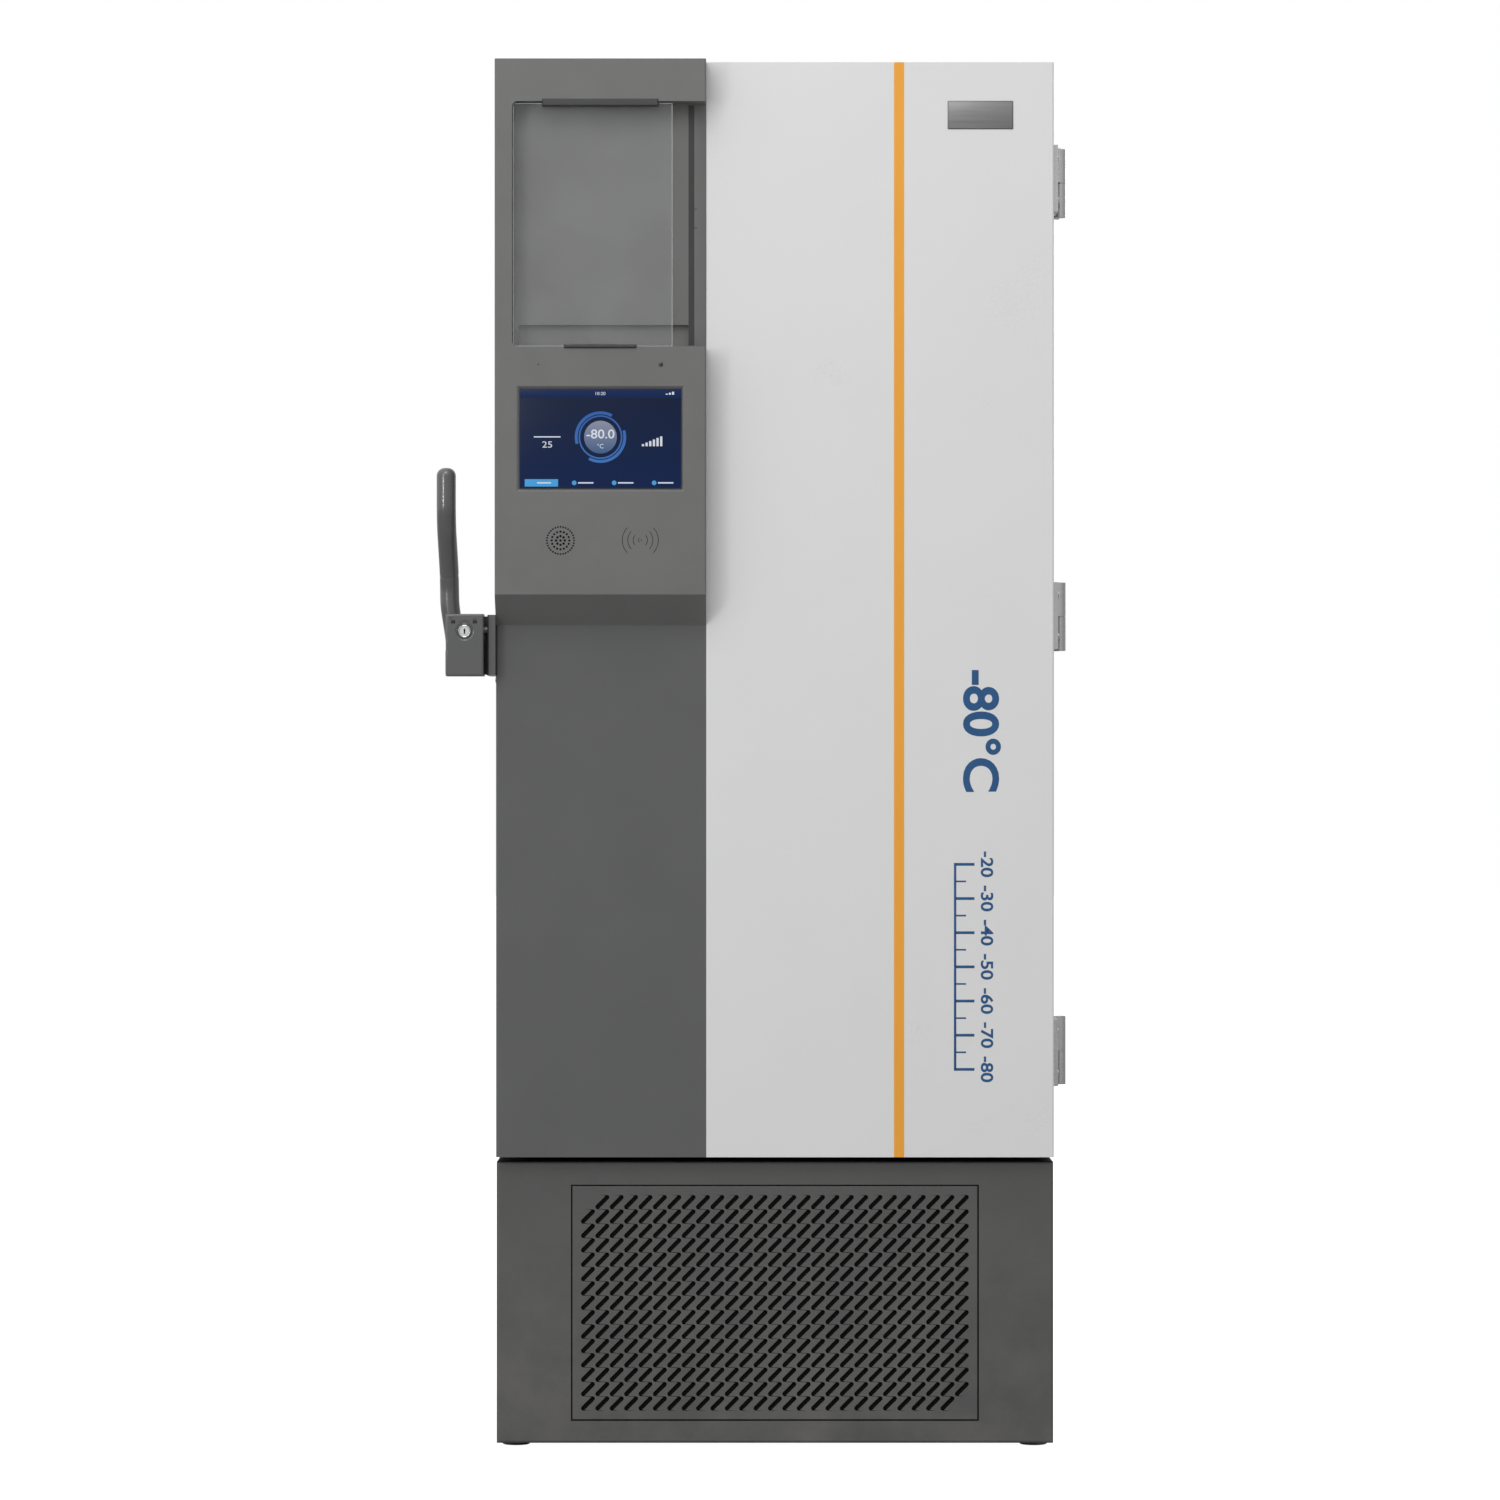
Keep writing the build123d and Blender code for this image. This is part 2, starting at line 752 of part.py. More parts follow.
# Door gasket: a broad foot and a narrower bulb that meets the breaker frame
with BuildPart() as door_gasket:
    seal_half_width = store_half_width + gasket_inset
    seal_bottom = store_bottom - gasket_inset
    seal_top = store_top + gasket_inset
    with BuildSketch(front(door_back)):
        span(
            -seal_half_width - gasket_width,
            seal_half_width + gasket_width,
            seal_bottom - gasket_width,
            seal_top + gasket_width,
        )
        span(-seal_half_width, seal_half_width, seal_bottom, seal_top, mode=Mode.SUBTRACT)
    extrude(amount=-gasket_foot_height)
    with BuildSketch(front(door_back + gasket_foot_height)):
        span(
            -seal_half_width - gasket_width + gasket_bulb_inset,
            seal_half_width + gasket_width - gasket_bulb_inset,
            seal_bottom - gasket_width + gasket_bulb_inset,
            seal_top + gasket_width - gasket_bulb_inset,
        )
        span(
            -seal_half_width - gasket_bulb_inset,
            seal_half_width + gasket_bulb_inset,
            seal_bottom - gasket_bulb_inset,
            seal_top + gasket_bulb_inset,
            mode=Mode.SUBTRACT,
        )
    extrude(amount=-(gasket_height - gasket_foot_height - seal_clearance))
finish(door_gasket.part, "door_gasket")

# White front panel: the right part of the door's face, grooved for the stripe
with BuildPart() as front_panel_white:
    with BuildSketch(front(door_face)):
        span(dark_panel_edge, half_width, door_bottom, overall_height)
    extrude(amount=-fascia_thickness)
    outer_corner = front_panel_white.edges().filter_by(Axis.Z).sort_by(Axis.Y)[0:2].sort_by(Axis.X)[-1]
    fillet(outer_corner, radius=fascia_edge_radius)
    with BuildSketch(front(door_face)):
        span(stripe_left, stripe_left + stripe_width, door_bottom, overall_height)
    extrude(amount=-stripe_depth, mode=Mode.SUBTRACT)
finish(front_panel_white.part, "front_panel_white")

# Accent stripe: a coloured strip laid flush in the groove
with BuildPart() as accent_stripe:
    with BuildSketch(front(door_face)):
        span(stripe_left, stripe_left + stripe_width, door_bottom, overall_height)
    extrude(amount=-stripe_depth)
finish(accent_stripe.part, "accent_stripe")

# Dark front panel: the flat lower left of the door's face
with BuildPart() as front_panel_dark:
    with BuildSketch(front(door_face)):
        span(-half_width, dark_panel_edge, door_bottom, module_bottom)
    extrude(amount=-fascia_thickness)
    outer_corner = front_panel_dark.edges().filter_by(Axis.Z).sort_by(Axis.Y)[0:2].sort_by(Axis.X)[0]
    fillet(outer_corner, radius=fascia_edge_radius)
finish(front_panel_dark.part, "front_panel_dark")

# Badge plate: a bare metal plate on the white panel
with BuildPart() as badge_plate:
    with BuildSketch(front(door_face)):
        with Locations((badge_centre_x, badge_centre_z)):
            Rectangle(badge_width, badge_height)
    extrude(amount=badge_thickness)
finish(badge_plate.part, "badge_plate")

# Control housing: the moulding that holds the document niche, the screen and the loudspeaker
niche_wall = module_face + niche_depth
cavity_front = module_face + module_wall
with BuildPart() as control_housing:
    with BuildSketch(side(-half_width)):
        with BuildLine():
            Polyline(
                (door_core_face, module_bottom),
                (door_face, module_bottom),
                (module_face, module_bottom + module_slope_height),
                (module_face, overall_height),
                (door_core_face, overall_height),
                close=True,
            )
        make_face()
    extrude(amount=dark_panel_edge + half_width)
    front_corners = control_housing.edges().filter_by(Axis.Z).group_by(Axis.Y)[0]
    fillet(front_corners, radius=module_edge_radius)
    # The niche: its left corners are round, its right side is open and ramps back to the door
    with BuildSketch(front(module_face)) as niche:
        span(niche_left, dark_panel_edge, niche_bottom, niche_top)
        fillet(niche.vertices().group_by(Axis.X)[0], radius=niche_corner_radius)
    extrude(amount=-niche_depth, mode=Mode.SUBTRACT)
    with BuildSketch(front(niche_wall)):
        span(
            niche_left + niche_corner_radius,
            dark_panel_edge - niche_ramp_width,
            niche_bottom,
            niche_bottom + niche_foot_height,
        )
    extrude(amount=-niche_foot_depth, mode=Mode.SUBTRACT)
    with BuildSketch(Plane.XY.offset(niche_bottom)):
        with BuildLine():
            Polyline(
                (dark_panel_edge - niche_ramp_width, niche_wall),
                (dark_panel_edge, niche_wall),
                (dark_panel_edge, door_face - stripe_depth),
                close=True,
            )
        make_face()
    extrude(amount=niche_top - niche_bottom, mode=Mode.SUBTRACT)
    # The hollow behind the screen, and the bevelled window in front of it
    with BuildSketch(front(cavity_front)):
        span(
            -half_width + module_wall,
            dark_panel_edge - module_wall,
            module_bottom + module_slope_height + module_wall,
            niche_bottom - module_wall,
        )
    extrude(amount=-(door_core_face - cavity_front), mode=Mode.SUBTRACT)
    for depth, border in ((0.0, screen_bevel), (screen_bevel_depth, 0.0)):
        with BuildSketch(front(module_face + depth)):
            with Locations((screen_x, screen_z)):
                Rectangle(screen_width + 2 * border, screen_height + 2 * border)
    loft(mode=Mode.SUBTRACT)
    with BuildSketch(front(module_face)):
        with Locations((screen_x, screen_z)):
            Rectangle(screen_width - 2 * screen_ledge, screen_height - 2 * screen_ledge)
        with Locations((lens_x, lens_z)):
            RegularPolygon(lens_radius + free_clearance, shell_sides, major_radius=False)
    extrude(amount=-module_wall, mode=Mode.SUBTRACT)
finish(control_housing.part, "control_housing")

# Touch screen: the glass on the window's ledge with the display behind it
with BuildPart() as touch_screen:
    screen_seat = module_face + screen_bevel_depth
    with BuildSketch(front(screen_seat)):
        with Locations((screen_x, screen_z)):
            Rectangle(screen_width, screen_height)
    extrude(amount=screen_glass)
    with BuildSketch(front(screen_seat)):
        with Locations((screen_x, screen_z)):
            Rectangle(
                screen_width - 2 * (screen_ledge + free_clearance),
                screen_height - 2 * (screen_ledge + free_clearance),
            )
    extrude(amount=-screen_body_depth)
finish(touch_screen.part, "touch_screen")

# Loudspeaker behind the module's perforated front
with BuildPart() as speaker:
    with BuildSketch(front(cavity_front)):
        with Locations((speaker_x, speaker_z)):
            RegularPolygon(speaker_radius, speaker_sides)
    extrude(amount=-speaker_thickness)
finish(speaker.part, "speaker")

# Sensor lens above the screen
with BuildPart() as camera_lens:
    with BuildSketch(front(module_face)):
        with Locations((lens_x, lens_z)):
            RegularPolygon(lens_radius, shell_sides)
    extrude(amount=-module_wall)
    with BuildSketch(front(cavity_front)):
        with Locations((lens_x, lens_z)):
            Rectangle(4 * lens_radius, 4 * lens_radius)
    extrude(amount=-module_wall)
finish(camera_lens.part, "camera_lens")

# Document cover: a clear plate over the niche
cover_left = niche_left + cover_edge_gap
cover_face = module_face + cover_inset
cover_base = niche_bottom + free_clearance
cover_height = niche_top - cover_end_gap - cover_base
with BuildPart() as document_cover:
    with BuildSketch(front(cover_face)):
        with Locations((cover_left + cover_width / 2, cover_base + cover_height / 2)):
            RectangleRounded(cover_width, cover_height, cover_corner_radius)
    extrude(amount=-cover_thickness)
finish(document_cover.part, "document_cover")

# Cover clips: two bars on the housing whose lips hold the cover's top and bottom edges
upper_clip_top = niche_top + upper_clip_overhang
upper_clip_base = upper_clip_top - upper_clip_height
lower_clip_top = niche_bottom + clip_overlap
lower_clip_base = lower_clip_top - lower_clip_height
clip_rows = (
    (upper_clip_width, upper_clip_base, upper_clip_top, upper_clip_base, niche_top),
    (lower_clip_width, lower_clip_base, lower_clip_top, niche_bottom, lower_clip_top),
)
with BuildPart() as cover_clips:
    for clip_width, clip_base, clip_top, lip_base, lip_top in clip_rows:
        low_x = upper_clip_x - clip_width / 2
        high_x = upper_clip_x + clip_width / 2
        with BuildSketch(front(module_face)):
            span(low_x, high_x, clip_base, clip_top)
        extrude(amount=clip_projection, taper=clip_taper)
        with BuildSketch(front(module_face)):
            span(low_x, high_x, lip_base, lip_top)
        extrude(amount=-cover_inset)
finish(cover_clips.part, "cover_clips")

# Door hinges: lift-off, the door's knuckle drops over the pin of the cabinet's knuckle
hinge_x = half_width + hinge_axis_offset
hinge_y = door_face + hinge_axis_depth
leaf_outer = half_width + hinge_leaf_thickness
leaf_margin = hinge_barrel_radius + knuckle_gap
barrel_height = hinge_knuckle_height + hinge_cap_height
with BuildPart() as door_hinge_leaves:
    for height in hinge_heights:
        with BuildSketch(Plane.XY.offset(height - hinge_leaf_height / 2)):
            span(half_width, leaf_outer, hinge_y - leaf_margin - hinge_leaf_length, hinge_y - leaf_margin)
        extrude(amount=hinge_leaf_height)
        with BuildSketch(Plane.XY.offset(height + knuckle_gap / 2)):
            with Locations((hinge_x, hinge_y)):
                Circle(hinge_barrel_radius)
            span(half_width + knuckle_gap, hinge_x, hinge_y - 2 * hinge_barrel_radius, hinge_y)
        extrude(amount=barrel_height - knuckle_gap / 2)
        with BuildSketch(Plane.XY.offset(height + knuckle_gap / 2)):
            with Locations((hinge_x, hinge_y)):
                RegularPolygon(hinge_pin_radius + running_clearance, pin_sides, major_radius=False)
        extrude(amount=hinge_knuckle_height, mode=Mode.SUBTRACT)
finish(door_hinge_leaves.part, "door_hinge_leaves")

with BuildPart() as cabinet_hinge_leaves:
    for height in hinge_heights:
        with BuildSketch(Plane.XY.offset(height - hinge_leaf_height / 2)):
            span(half_width, leaf_outer, cabinet_front, cabinet_front + hinge_leaf_length)
        extrude(amount=hinge_leaf_height)
        with BuildSketch(Plane.XY.offset(height - barrel_height)):
            with Locations((hinge_x, hinge_y)):
                Circle(hinge_barrel_radius)
            span(half_width + knuckle_side_gap, hinge_x, hinge_y, cabinet_front)
            span(leaf_outer, hinge_x, cabinet_front, cabinet_front + hinge_barrel_radius)
        extrude(amount=barrel_height - knuckle_gap / 2)
        with BuildSketch(Plane.XY.offset(height - knuckle_gap / 2)):
            with Locations((hinge_x, hinge_y)):
                RegularPolygon(hinge_pin_radius, pin_sides)
        extrude(amount=hinge_knuckle_height - knuckle_gap)
finish(cabinet_hinge_leaves.part, "cabinet_hinge_leaves")

# Handle mount: the casting on the door's left side, with the handle's pivot pin
mount_outer = -half_width - mount_thickness
block_inner = mount_outer - mount_gap
block_outer = block_inner - block_width
block_front = door_face - block_projection
block_back = block_front + block_depth
pivot_y = block_front + pivot_inset
mount_bottom = block_bottom + mount_end_inset
mount_top = block_bottom + block_height - mount_end_inset
with BuildPart() as handle_mount:
    with BuildSketch(side(mount_outer)):
        span(pivot_y - mount_nose, pivot_y + mount_depth, mount_bottom, mount_top)
    extrude(amount=mount_thickness)
    fillet(handle_mount.edges().filter_by(Axis.Z).sort_by(Axis.X)[0:2], radius=block_edge_radius)
    with BuildSketch(side(mount_outer)):
        with Locations((pivot_y, pivot_height)):
            Circle(pivot_radius)
    extrude(amount=-(mount_gap + pivot_insertion))
finish(handle_mount.part, "handle_mount")

# Handle block: houses the lock, turns on the mount's pin and carries the grip and the latch nose
lock_x = block_outer + lock_x_inset
socket_top = block_bottom + grip_foot_rise
grip_foot_x = block_outer + grip_foot_inset
grip_y = block_back + grip_radius + free_clearance
striker_y = cabinet_front + striker_inset
striker_z = block_bottom + grip_foot_rise / 2 + striker_radius
nose_base = striker_z + striker_radius + striker_gap
nose_left = block_inner - nose_width - nose_inset
with BuildPart() as handle_block:
    with BuildSketch(front(block_front)):
        span(block_outer, block_inner, block_bottom, block_bottom + block_height)
    extrude(amount=-block_depth)
    fillet(handle_block.faces().sort_by(Axis.Y)[0].edges(), radius=block_edge_radius)
    with BuildSketch(front(block_back)):
        span(
            grip_foot_x - grip_radius,
            nose_left,
            block_bottom + block_edge_radius,
            socket_top,
        )
    extrude(amount=-socket_depth)
    with BuildSketch(side(nose_left)):
        with BuildLine():
            Polyline(
                (block_back, nose_base + nose_tip_height - nose_root_height),
                (block_back + socket_depth, nose_base + nose_tip_height - nose_root_height),
                (block_back + socket_depth + nose_root_height, nose_base),
                (block_back + nose_reach, nose_base),
                (block_back + nose_reach, nose_base + nose_tip_height),
                (block_back, nose_base + nose_tip_height + grip_radius),
                close=True,
            )
        make_face()
    extrude(amount=nose_width)
    with BuildSketch(side(block_inner)):
        with Locations((pivot_y, pivot_height)):
            Circle(pivot_radius + running_clearance)
    extrude(amount=-(pivot_insertion + free_clearance), mode=Mode.SUBTRACT)
    with BuildSketch(front(block_front)):
        with Locations((lock_x, lock_height)):
            Circle(lock_radius + running_clearance)
    extrude(amount=-lock_depth, mode=Mode.SUBTRACT)
    with BuildSketch(front(block_front)):
        with Locations((lock_x, lock_height)):
            Circle(lock_dish_radius)
    extrude(amount=-lock_dish_depth, taper=lock_dish_taper, mode=Mode.SUBTRACT)
finish(handle_block.part, "handle_block")

# Handle grip: a tube that rises behind the block, leans forward and ends in a rounded tip
with BuildPart() as handle_grip:
    lower_x = block_outer + grip_lower_inset
    upper_y = grip_y - grip_forward_reach
    grip_shoulder = grip_top - grip_tip_height
    lean = grip_forward_reach / (grip_bend_high - grip_bend_low)
    shift = grip_lower_inset / (grip_bend_high - grip_bend_low)
    with BuildLine() as grip_path:
        Polyline(
            (grip_foot_x, grip_y, socket_top),
            (grip_foot_x, grip_y, socket_top + grip_radius),
            (lower_x, grip_y, (socket_top + grip_bend_low) / 2 + grip_radius),
            (lower_x, grip_y, grip_bend_low - grip_bend_cut),
            (
                lower_x - shift * grip_bend_cut,
                grip_y - lean * grip_bend_cut,
                grip_bend_low + grip_bend_cut,
            ),
            (
                block_outer + shift * grip_bend_cut,
                upper_y + lean * grip_bend_cut,
                grip_bend_high - grip_bend_cut,
            ),
            (block_outer, upper_y, grip_bend_high + grip_bend_cut),
            (block_outer, upper_y, grip_shoulder),
        )
    with BuildSketch(Plane(origin=grip_path.line @ 0, z_dir=(0, 0, 1))):
        Circle(grip_radius)
    sweep(path=grip_path.line, transition=Transition.RIGHT)
    with BuildSketch(Plane.XY.offset(grip_shoulder)):
        with Locations((block_outer, upper_y)):
            Circle(grip_radius)
    extrude(amount=grip_tip_height / 2, taper=grip_shoulder_taper)
    grip_crown = handle_grip.faces().sort_by(Axis.Z)[-1]
    extrude(grip_crown, amount=grip_tip_height / 2, taper=grip_crown_taper)
finish(handle_grip.part, "handle_grip")

# Lock cylinder: a plug with a keyway, turned by its key
with BuildPart() as lock_cylinder:
    lock_face = block_front + lock_dish_depth / 2
    with BuildSketch(front(lock_face)):
        with Locations((lock_x, lock_height)):
            Circle(lock_radius)
    extrude(amount=-(lock_depth - lock_dish_depth / 2 - free_clearance))
    with BuildSketch(front(lock_face)):
        with Locations((lock_x, lock_height)):
            Rectangle(keyway_width, keyway_height)
    extrude(amount=-keyway_depth, mode=Mode.SUBTRACT)
finish(lock_cylinder.part, "lock_cylinder")

# Latch keeper: a plate on the cabinet's side with the striker pin under the handle's nose
with BuildPart() as latch_keeper:
    with BuildSketch(side(-half_width)):
        with Locations((cabinet_front + keeper_length / 2, striker_z)):
            Rectangle(keeper_length, keeper_height)
    extrude(amount=-keeper_plate)
    with BuildSketch(side(-half_width - keeper_plate)):
        with Locations((striker_y, striker_z)):
            Circle(striker_radius)
    extrude(amount=-striker_length)
finish(latch_keeper.part, "latch_keeper")

# Condenser coil: a finned block between two tube sheets, behind the filter
condenser_front = pan_front + pan_sheet + condenser_gap
condenser_back = condenser_front + condenser_depth
condenser_half_width = condenser_width / 2
tube_sheet_top = pan_top + condenser_height + tube_sheet
with BuildPart() as condenser_coil:
    with BuildSketch(front(condenser_front)):
        span(-condenser_half_width, condenser_half_width, pan_top, pan_top + condenser_height)
    extrude(amount=-condenser_depth)
    for hand in (-1, 1):
        with BuildSketch(side(hand * condenser_half_width)):
            span(condenser_front - tube_sheet, condenser_back, pan_top, tube_sheet_top)
        extrude(amount=hand * tube_sheet)
finish(condenser_coil.part, "condenser_coil")

# Fan shroud: the plate behind the condenser, with four posts that carry the motor's arms
shroud_bore = fan_radius + fan_tip_clearance
arm_reach = shroud_bore + motor_arm_width
shaft_hole = fan_shaft_radius + free_clearance
motor_front = condenser_back + shroud_sheet + shroud_ring_depth + motor_gap
with BuildPart() as fan_shroud:
    with BuildSketch(front(condenser_back)):
        span(-condenser_half_width, condenser_half_width, pan_top, pan_top + condenser_height)
        with Locations((0, fan_height)):
            RegularPolygon(shroud_bore, shell_sides, major_radius=False, mode=Mode.SUBTRACT)
    extrude(amount=-shroud_sheet)
    with BuildSketch(front(condenser_back + shroud_sheet)):
        with Locations((-arm_reach, fan_height), (arm_reach, fan_height)):
            Rectangle(motor_arm_width, motor_arm_width)
    extrude(amount=-shroud_ring_depth)
    with BuildSketch(front(condenser_back + shroud_sheet + shroud_ring_depth)):
        with Locations((0, fan_height)):
            Rectangle(2 * arm_reach + motor_arm_width, motor_arm_width)
            Rectangle(2 * motor_radius, 2 * motor_radius)
            RegularPolygon(shaft_hole, pin_sides, major_radius=False, mode=Mode.SUBTRACT)
    extrude(amount=-motor_gap)
finish(fan_shroud.part, "fan_shroud")

# Fan motor: bolted behind the arms, its shaft through them into the fan's hub
fan_hub_back = condenser_back + shroud_sheet + shroud_ring_depth - free_clearance
fan_hub_front = fan_hub_back - fan_hub_length
with BuildPart() as fan_motor:
    with BuildSketch(front(motor_front)):
        with Locations((0, fan_height)):
            RegularPolygon(motor_radius, shell_sides)
    extrude(amount=-motor_length)
    with BuildSketch(front(motor_front)):
        with Locations((0, fan_height)):
            RegularPolygon(fan_shaft_radius, pin_sides)
    extrude(amount=motor_front - fan_hub_back + fan_shaft_insertion)
finish(fan_motor.part, "fan_motor")

# Fan blades: a hub with pitched blades, free to turn on the motor's shaft
with BuildPart() as fan_blades:
    with BuildSketch(front(fan_hub_front)):
        with Locations((0, fan_height)):
            RegularPolygon(fan_hub_radius, shell_sides)
    extrude(amount=-fan_hub_length)
    hub_middle = (fan_hub_front + fan_hub_back) / 2
    for blade in range(fan_blade_count):
        turn = 360 / fan_blade_count * blade
        outward = (cos(radians(turn)), 0, sin(radians(turn)))
        along = Plane(origin=(0, hub_middle, fan_height), x_dir=(0, 1, 0), z_dir=outward)
        with BuildSketch(along.offset(fan_blade_root)):
            Rectangle(fan_blade_thickness, fan_blade_chord, rotation=fan_blade_pitch)
        extrude(amount=fan_blade_tip - fan_blade_root)
    with BuildSketch(front(fan_hub_back)):
        with Locations((0, fan_height)):
            RegularPolygon(fan_shaft_radius + running_clearance, pin_sides, major_radius=False)
    extrude(amount=fan_shaft_insertion + free_clearance, mode=Mode.SUBTRACT)
finish(fan_blades.part, "fan_blades")

# Compressors: welded shells on a foot plate with a rubber foot at each corner, one for each stage
shell_base = pan_top + grommet_height
grommet_pitch = compressor_foot - 3 * grommet_half_width
for stage_name, stage_x in (("high_stage_compressor", high_stage_x), ("low_stage_compressor", low_stage_x)):
    with BuildPart() as compressor:
        with BuildSketch(Plane.XY.offset(pan_top)):
            with Locations((stage_x, compressor_y)):
                with GridLocations(grommet_pitch, grommet_pitch, 2, 2):
                    Rectangle(2 * grommet_half_width, 2 * grommet_half_width)
        extrude(amount=grommet_height)
        with BuildSketch(Plane.XY.offset(shell_base)):
            with Locations((stage_x, compressor_y)):
                Rectangle(compressor_foot, compressor_foot)
        extrude(amount=compressor_foot_sheet)
        with BuildSketch(Plane.XY.offset(shell_base + compressor_foot_sheet)):
            with Locations((stage_x, compressor_y)):
                RegularPolygon(compressor_radius, shell_sides)
        extrude(amount=compressor_height - compressor_foot_sheet)
        crown = compressor.faces().sort_by(Axis.Z)[-1]
        chamfer(crown.edges(), length=compressor_shoulder)
    finish(compressor.part, stage_name)

# Heat exchanger: the cascade condenser in its own foam box
with BuildPart() as heat_exchanger:
    with BuildSketch(Plane.XY.offset(pan_top)):
        with Locations((exchanger_x, exchanger_y)):
            Rectangle(exchanger_width, exchanger_depth)
    extrude(amount=exchanger_height)
finish(heat_exchanger.part, "heat_exchanger")

# Refrigerant pipes: from each compressor's crown to the exchanger, with brazed elbows
pipe_level = shell_base + compressor_height + pipe_rise
exchanger_side = exchanger_x - exchanger_width / 2
pipe_starts = (
    (high_stage_x, compressor_y - pipe_offset),
    (low_stage_x, compressor_y + pipe_offset),
)
with BuildPart() as refrigerant_pipes:
    for start_x, start_y in pipe_starts:
        with BuildLine() as pipe_path:
            Polyline(
                (start_x, start_y, shell_base + compressor_height),
                (start_x, start_y, pipe_level),
                (exchanger_side, start_y, pipe_level),
            )
        with BuildSketch(Plane(origin=pipe_path.line @ 0, z_dir=(0, 0, 1))):
            RegularPolygon(pipe_radius, pin_sides)
        sweep(path=pipe_path.line, transition=Transition.RIGHT)
finish(refrigerant_pipes.part, "refrigerant_pipes")

# Control box: relays, controller and backup battery in one case at the back of the pan
box_back = back - sheet - inlet_depth
with BuildPart() as control_box:
    with BuildSketch(Plane.XY.offset(pan_top)):
        span(
            control_box_x - control_box_width / 2,
            control_box_x + control_box_width / 2,
            box_back - control_box_depth,
            box_back,
        )
    extrude(amount=control_box_height)
finish(control_box.part, "control_box")

# Power inlet: a flanged appliance inlet in the back, where a mains lead plugs in
with BuildPart() as power_inlet:
    with BuildSketch(front(back + inlet_flange)):
        with Locations((inlet_x, inlet_z)):
            Rectangle(inlet_width + 2 * inlet_rim, inlet_height + 2 * inlet_rim)
    extrude(amount=inlet_flange)
    with BuildSketch(front(back)):
        with Locations((inlet_x, inlet_z)):
            Rectangle(inlet_width - 2 * free_clearance, inlet_height - 2 * free_clearance)
    extrude(amount=inlet_depth)
    with BuildSketch(front(back + inlet_flange)):
        with Locations((inlet_x, inlet_z)):
            Rectangle(inlet_width - 2 * inlet_rim, inlet_height - 2 * inlet_rim)
            with GridLocations(inlet_pin_pitch, inlet_pin_pitch, 3, 1):
                Rectangle(inlet_pin_width, inlet_pin_length, mode=Mode.SUBTRACT)
    extrude(amount=inlet_depth / 2, mode=Mode.SUBTRACT)
finish(power_inlet.part, "power_inlet")

# Rear spacers: bumpers that keep the back off the wall
with BuildPart() as rear_spacers:
    with BuildSketch(front(back)):
        for height in (base_top + spacer_low_rise, overall_height - spacer_high_drop):
            with Locations((-spacer_x, height), (spacer_x, height)):
                Rectangle(2 * spacer_half_width, 2 * spacer_half_width)
    extrude(amount=-spacer_depth, taper=spacer_taper)
finish(rear_spacers.part, "rear_spacers")

# Castors: a fork that swivels on its ball race and holds the axle, and a wheel on each axle
fork_top = pan_height - castor_pad - free_clearance
axle_z = castor_wheel_radius
fork_inner = castor_wheel_width / 2 + castor_side_gap
fork_outer = fork_inner + castor_fork_wall
crown_top = fork_top - castor_race
fork_corner = crown_top - castor_fork_crown
castor_places = {
    "front_left": (-castor_x, -castor_y),
    "front_right": (castor_x, -castor_y),
    "rear_left": (-castor_x, castor_y),
    "rear_right": (castor_x, castor_y),
}
for corner, (stem_x, stem_y) in castor_places.items():
    axle_y = stem_y + castor_trail
    with BuildPart() as castor_fork:
        with BuildSketch(side(stem_x - fork_outer)):
            with BuildLine():
                Polyline(
                    (stem_y - castor_trail, crown_top),
                    (stem_y - castor_trail, fork_corner),
                    (axle_y - 2 * castor_axle_radius, axle_z - 2 * castor_axle_radius),
                    (axle_y + 2 * castor_axle_radius, axle_z - 2 * castor_axle_radius),
                    (axle_y + 2 * castor_axle_radius, crown_top),
                    close=True,
                )
            make_face()
        extrude(amount=2 * fork_outer)
        with BuildSketch(side(stem_x - fork_inner)):
            span(stem_y - castor_pad_size, stem_y + castor_pad_size, 0, fork_corner)
        extrude(amount=2 * fork_inner, mode=Mode.SUBTRACT)
        with BuildSketch(side(stem_x - fork_outer)):
            with Locations((axle_y, axle_z)):
                Circle(castor_axle_radius)
        extrude(amount=2 * fork_outer)
        with BuildSketch(Plane.XY.offset(fork_top - castor_race)):
            with Locations((stem_x, stem_y)):
                Circle(castor_race_radius)
        extrude(amount=castor_race)
    finish(castor_fork.part, f"castor_fork_{corner}")
    with BuildPart() as castor_wheel:
        with BuildSketch(side(stem_x - castor_wheel_width / 2)):
            with Locations((axle_y, axle_z)):
                RegularPolygon(castor_wheel_radius, wheel_sides, rotation=-90)
                RegularPolygon(
                    castor_axle_radius + running_clearance, pin_sides, major_radius=False, mode=Mode.SUBTRACT
                )
        extrude(amount=castor_wheel_width)
    finish(castor_wheel.part, f"castor_wheel_{corner}")

# Levelling feet: screwed up to the pan behind the skirt, they take the front's weight
with BuildPart() as levelling_feet:
    with BuildSketch(Plane.XY):
        with Locations((-foot_x, foot_y), (foot_x, foot_y)):
            RegularPolygon(foot_pad_radius, shell_sides)
    extrude(amount=foot_pad_height)
    with BuildSketch(Plane.XY.offset(foot_pad_height)):
        with Locations((-foot_x, foot_y), (foot_x, foot_y)):
            RegularPolygon(foot_stem_radius, pin_sides)
    extrude(amount=pan_height - foot_pad_height)
finish(levelling_feet.part, "levelling_feet")
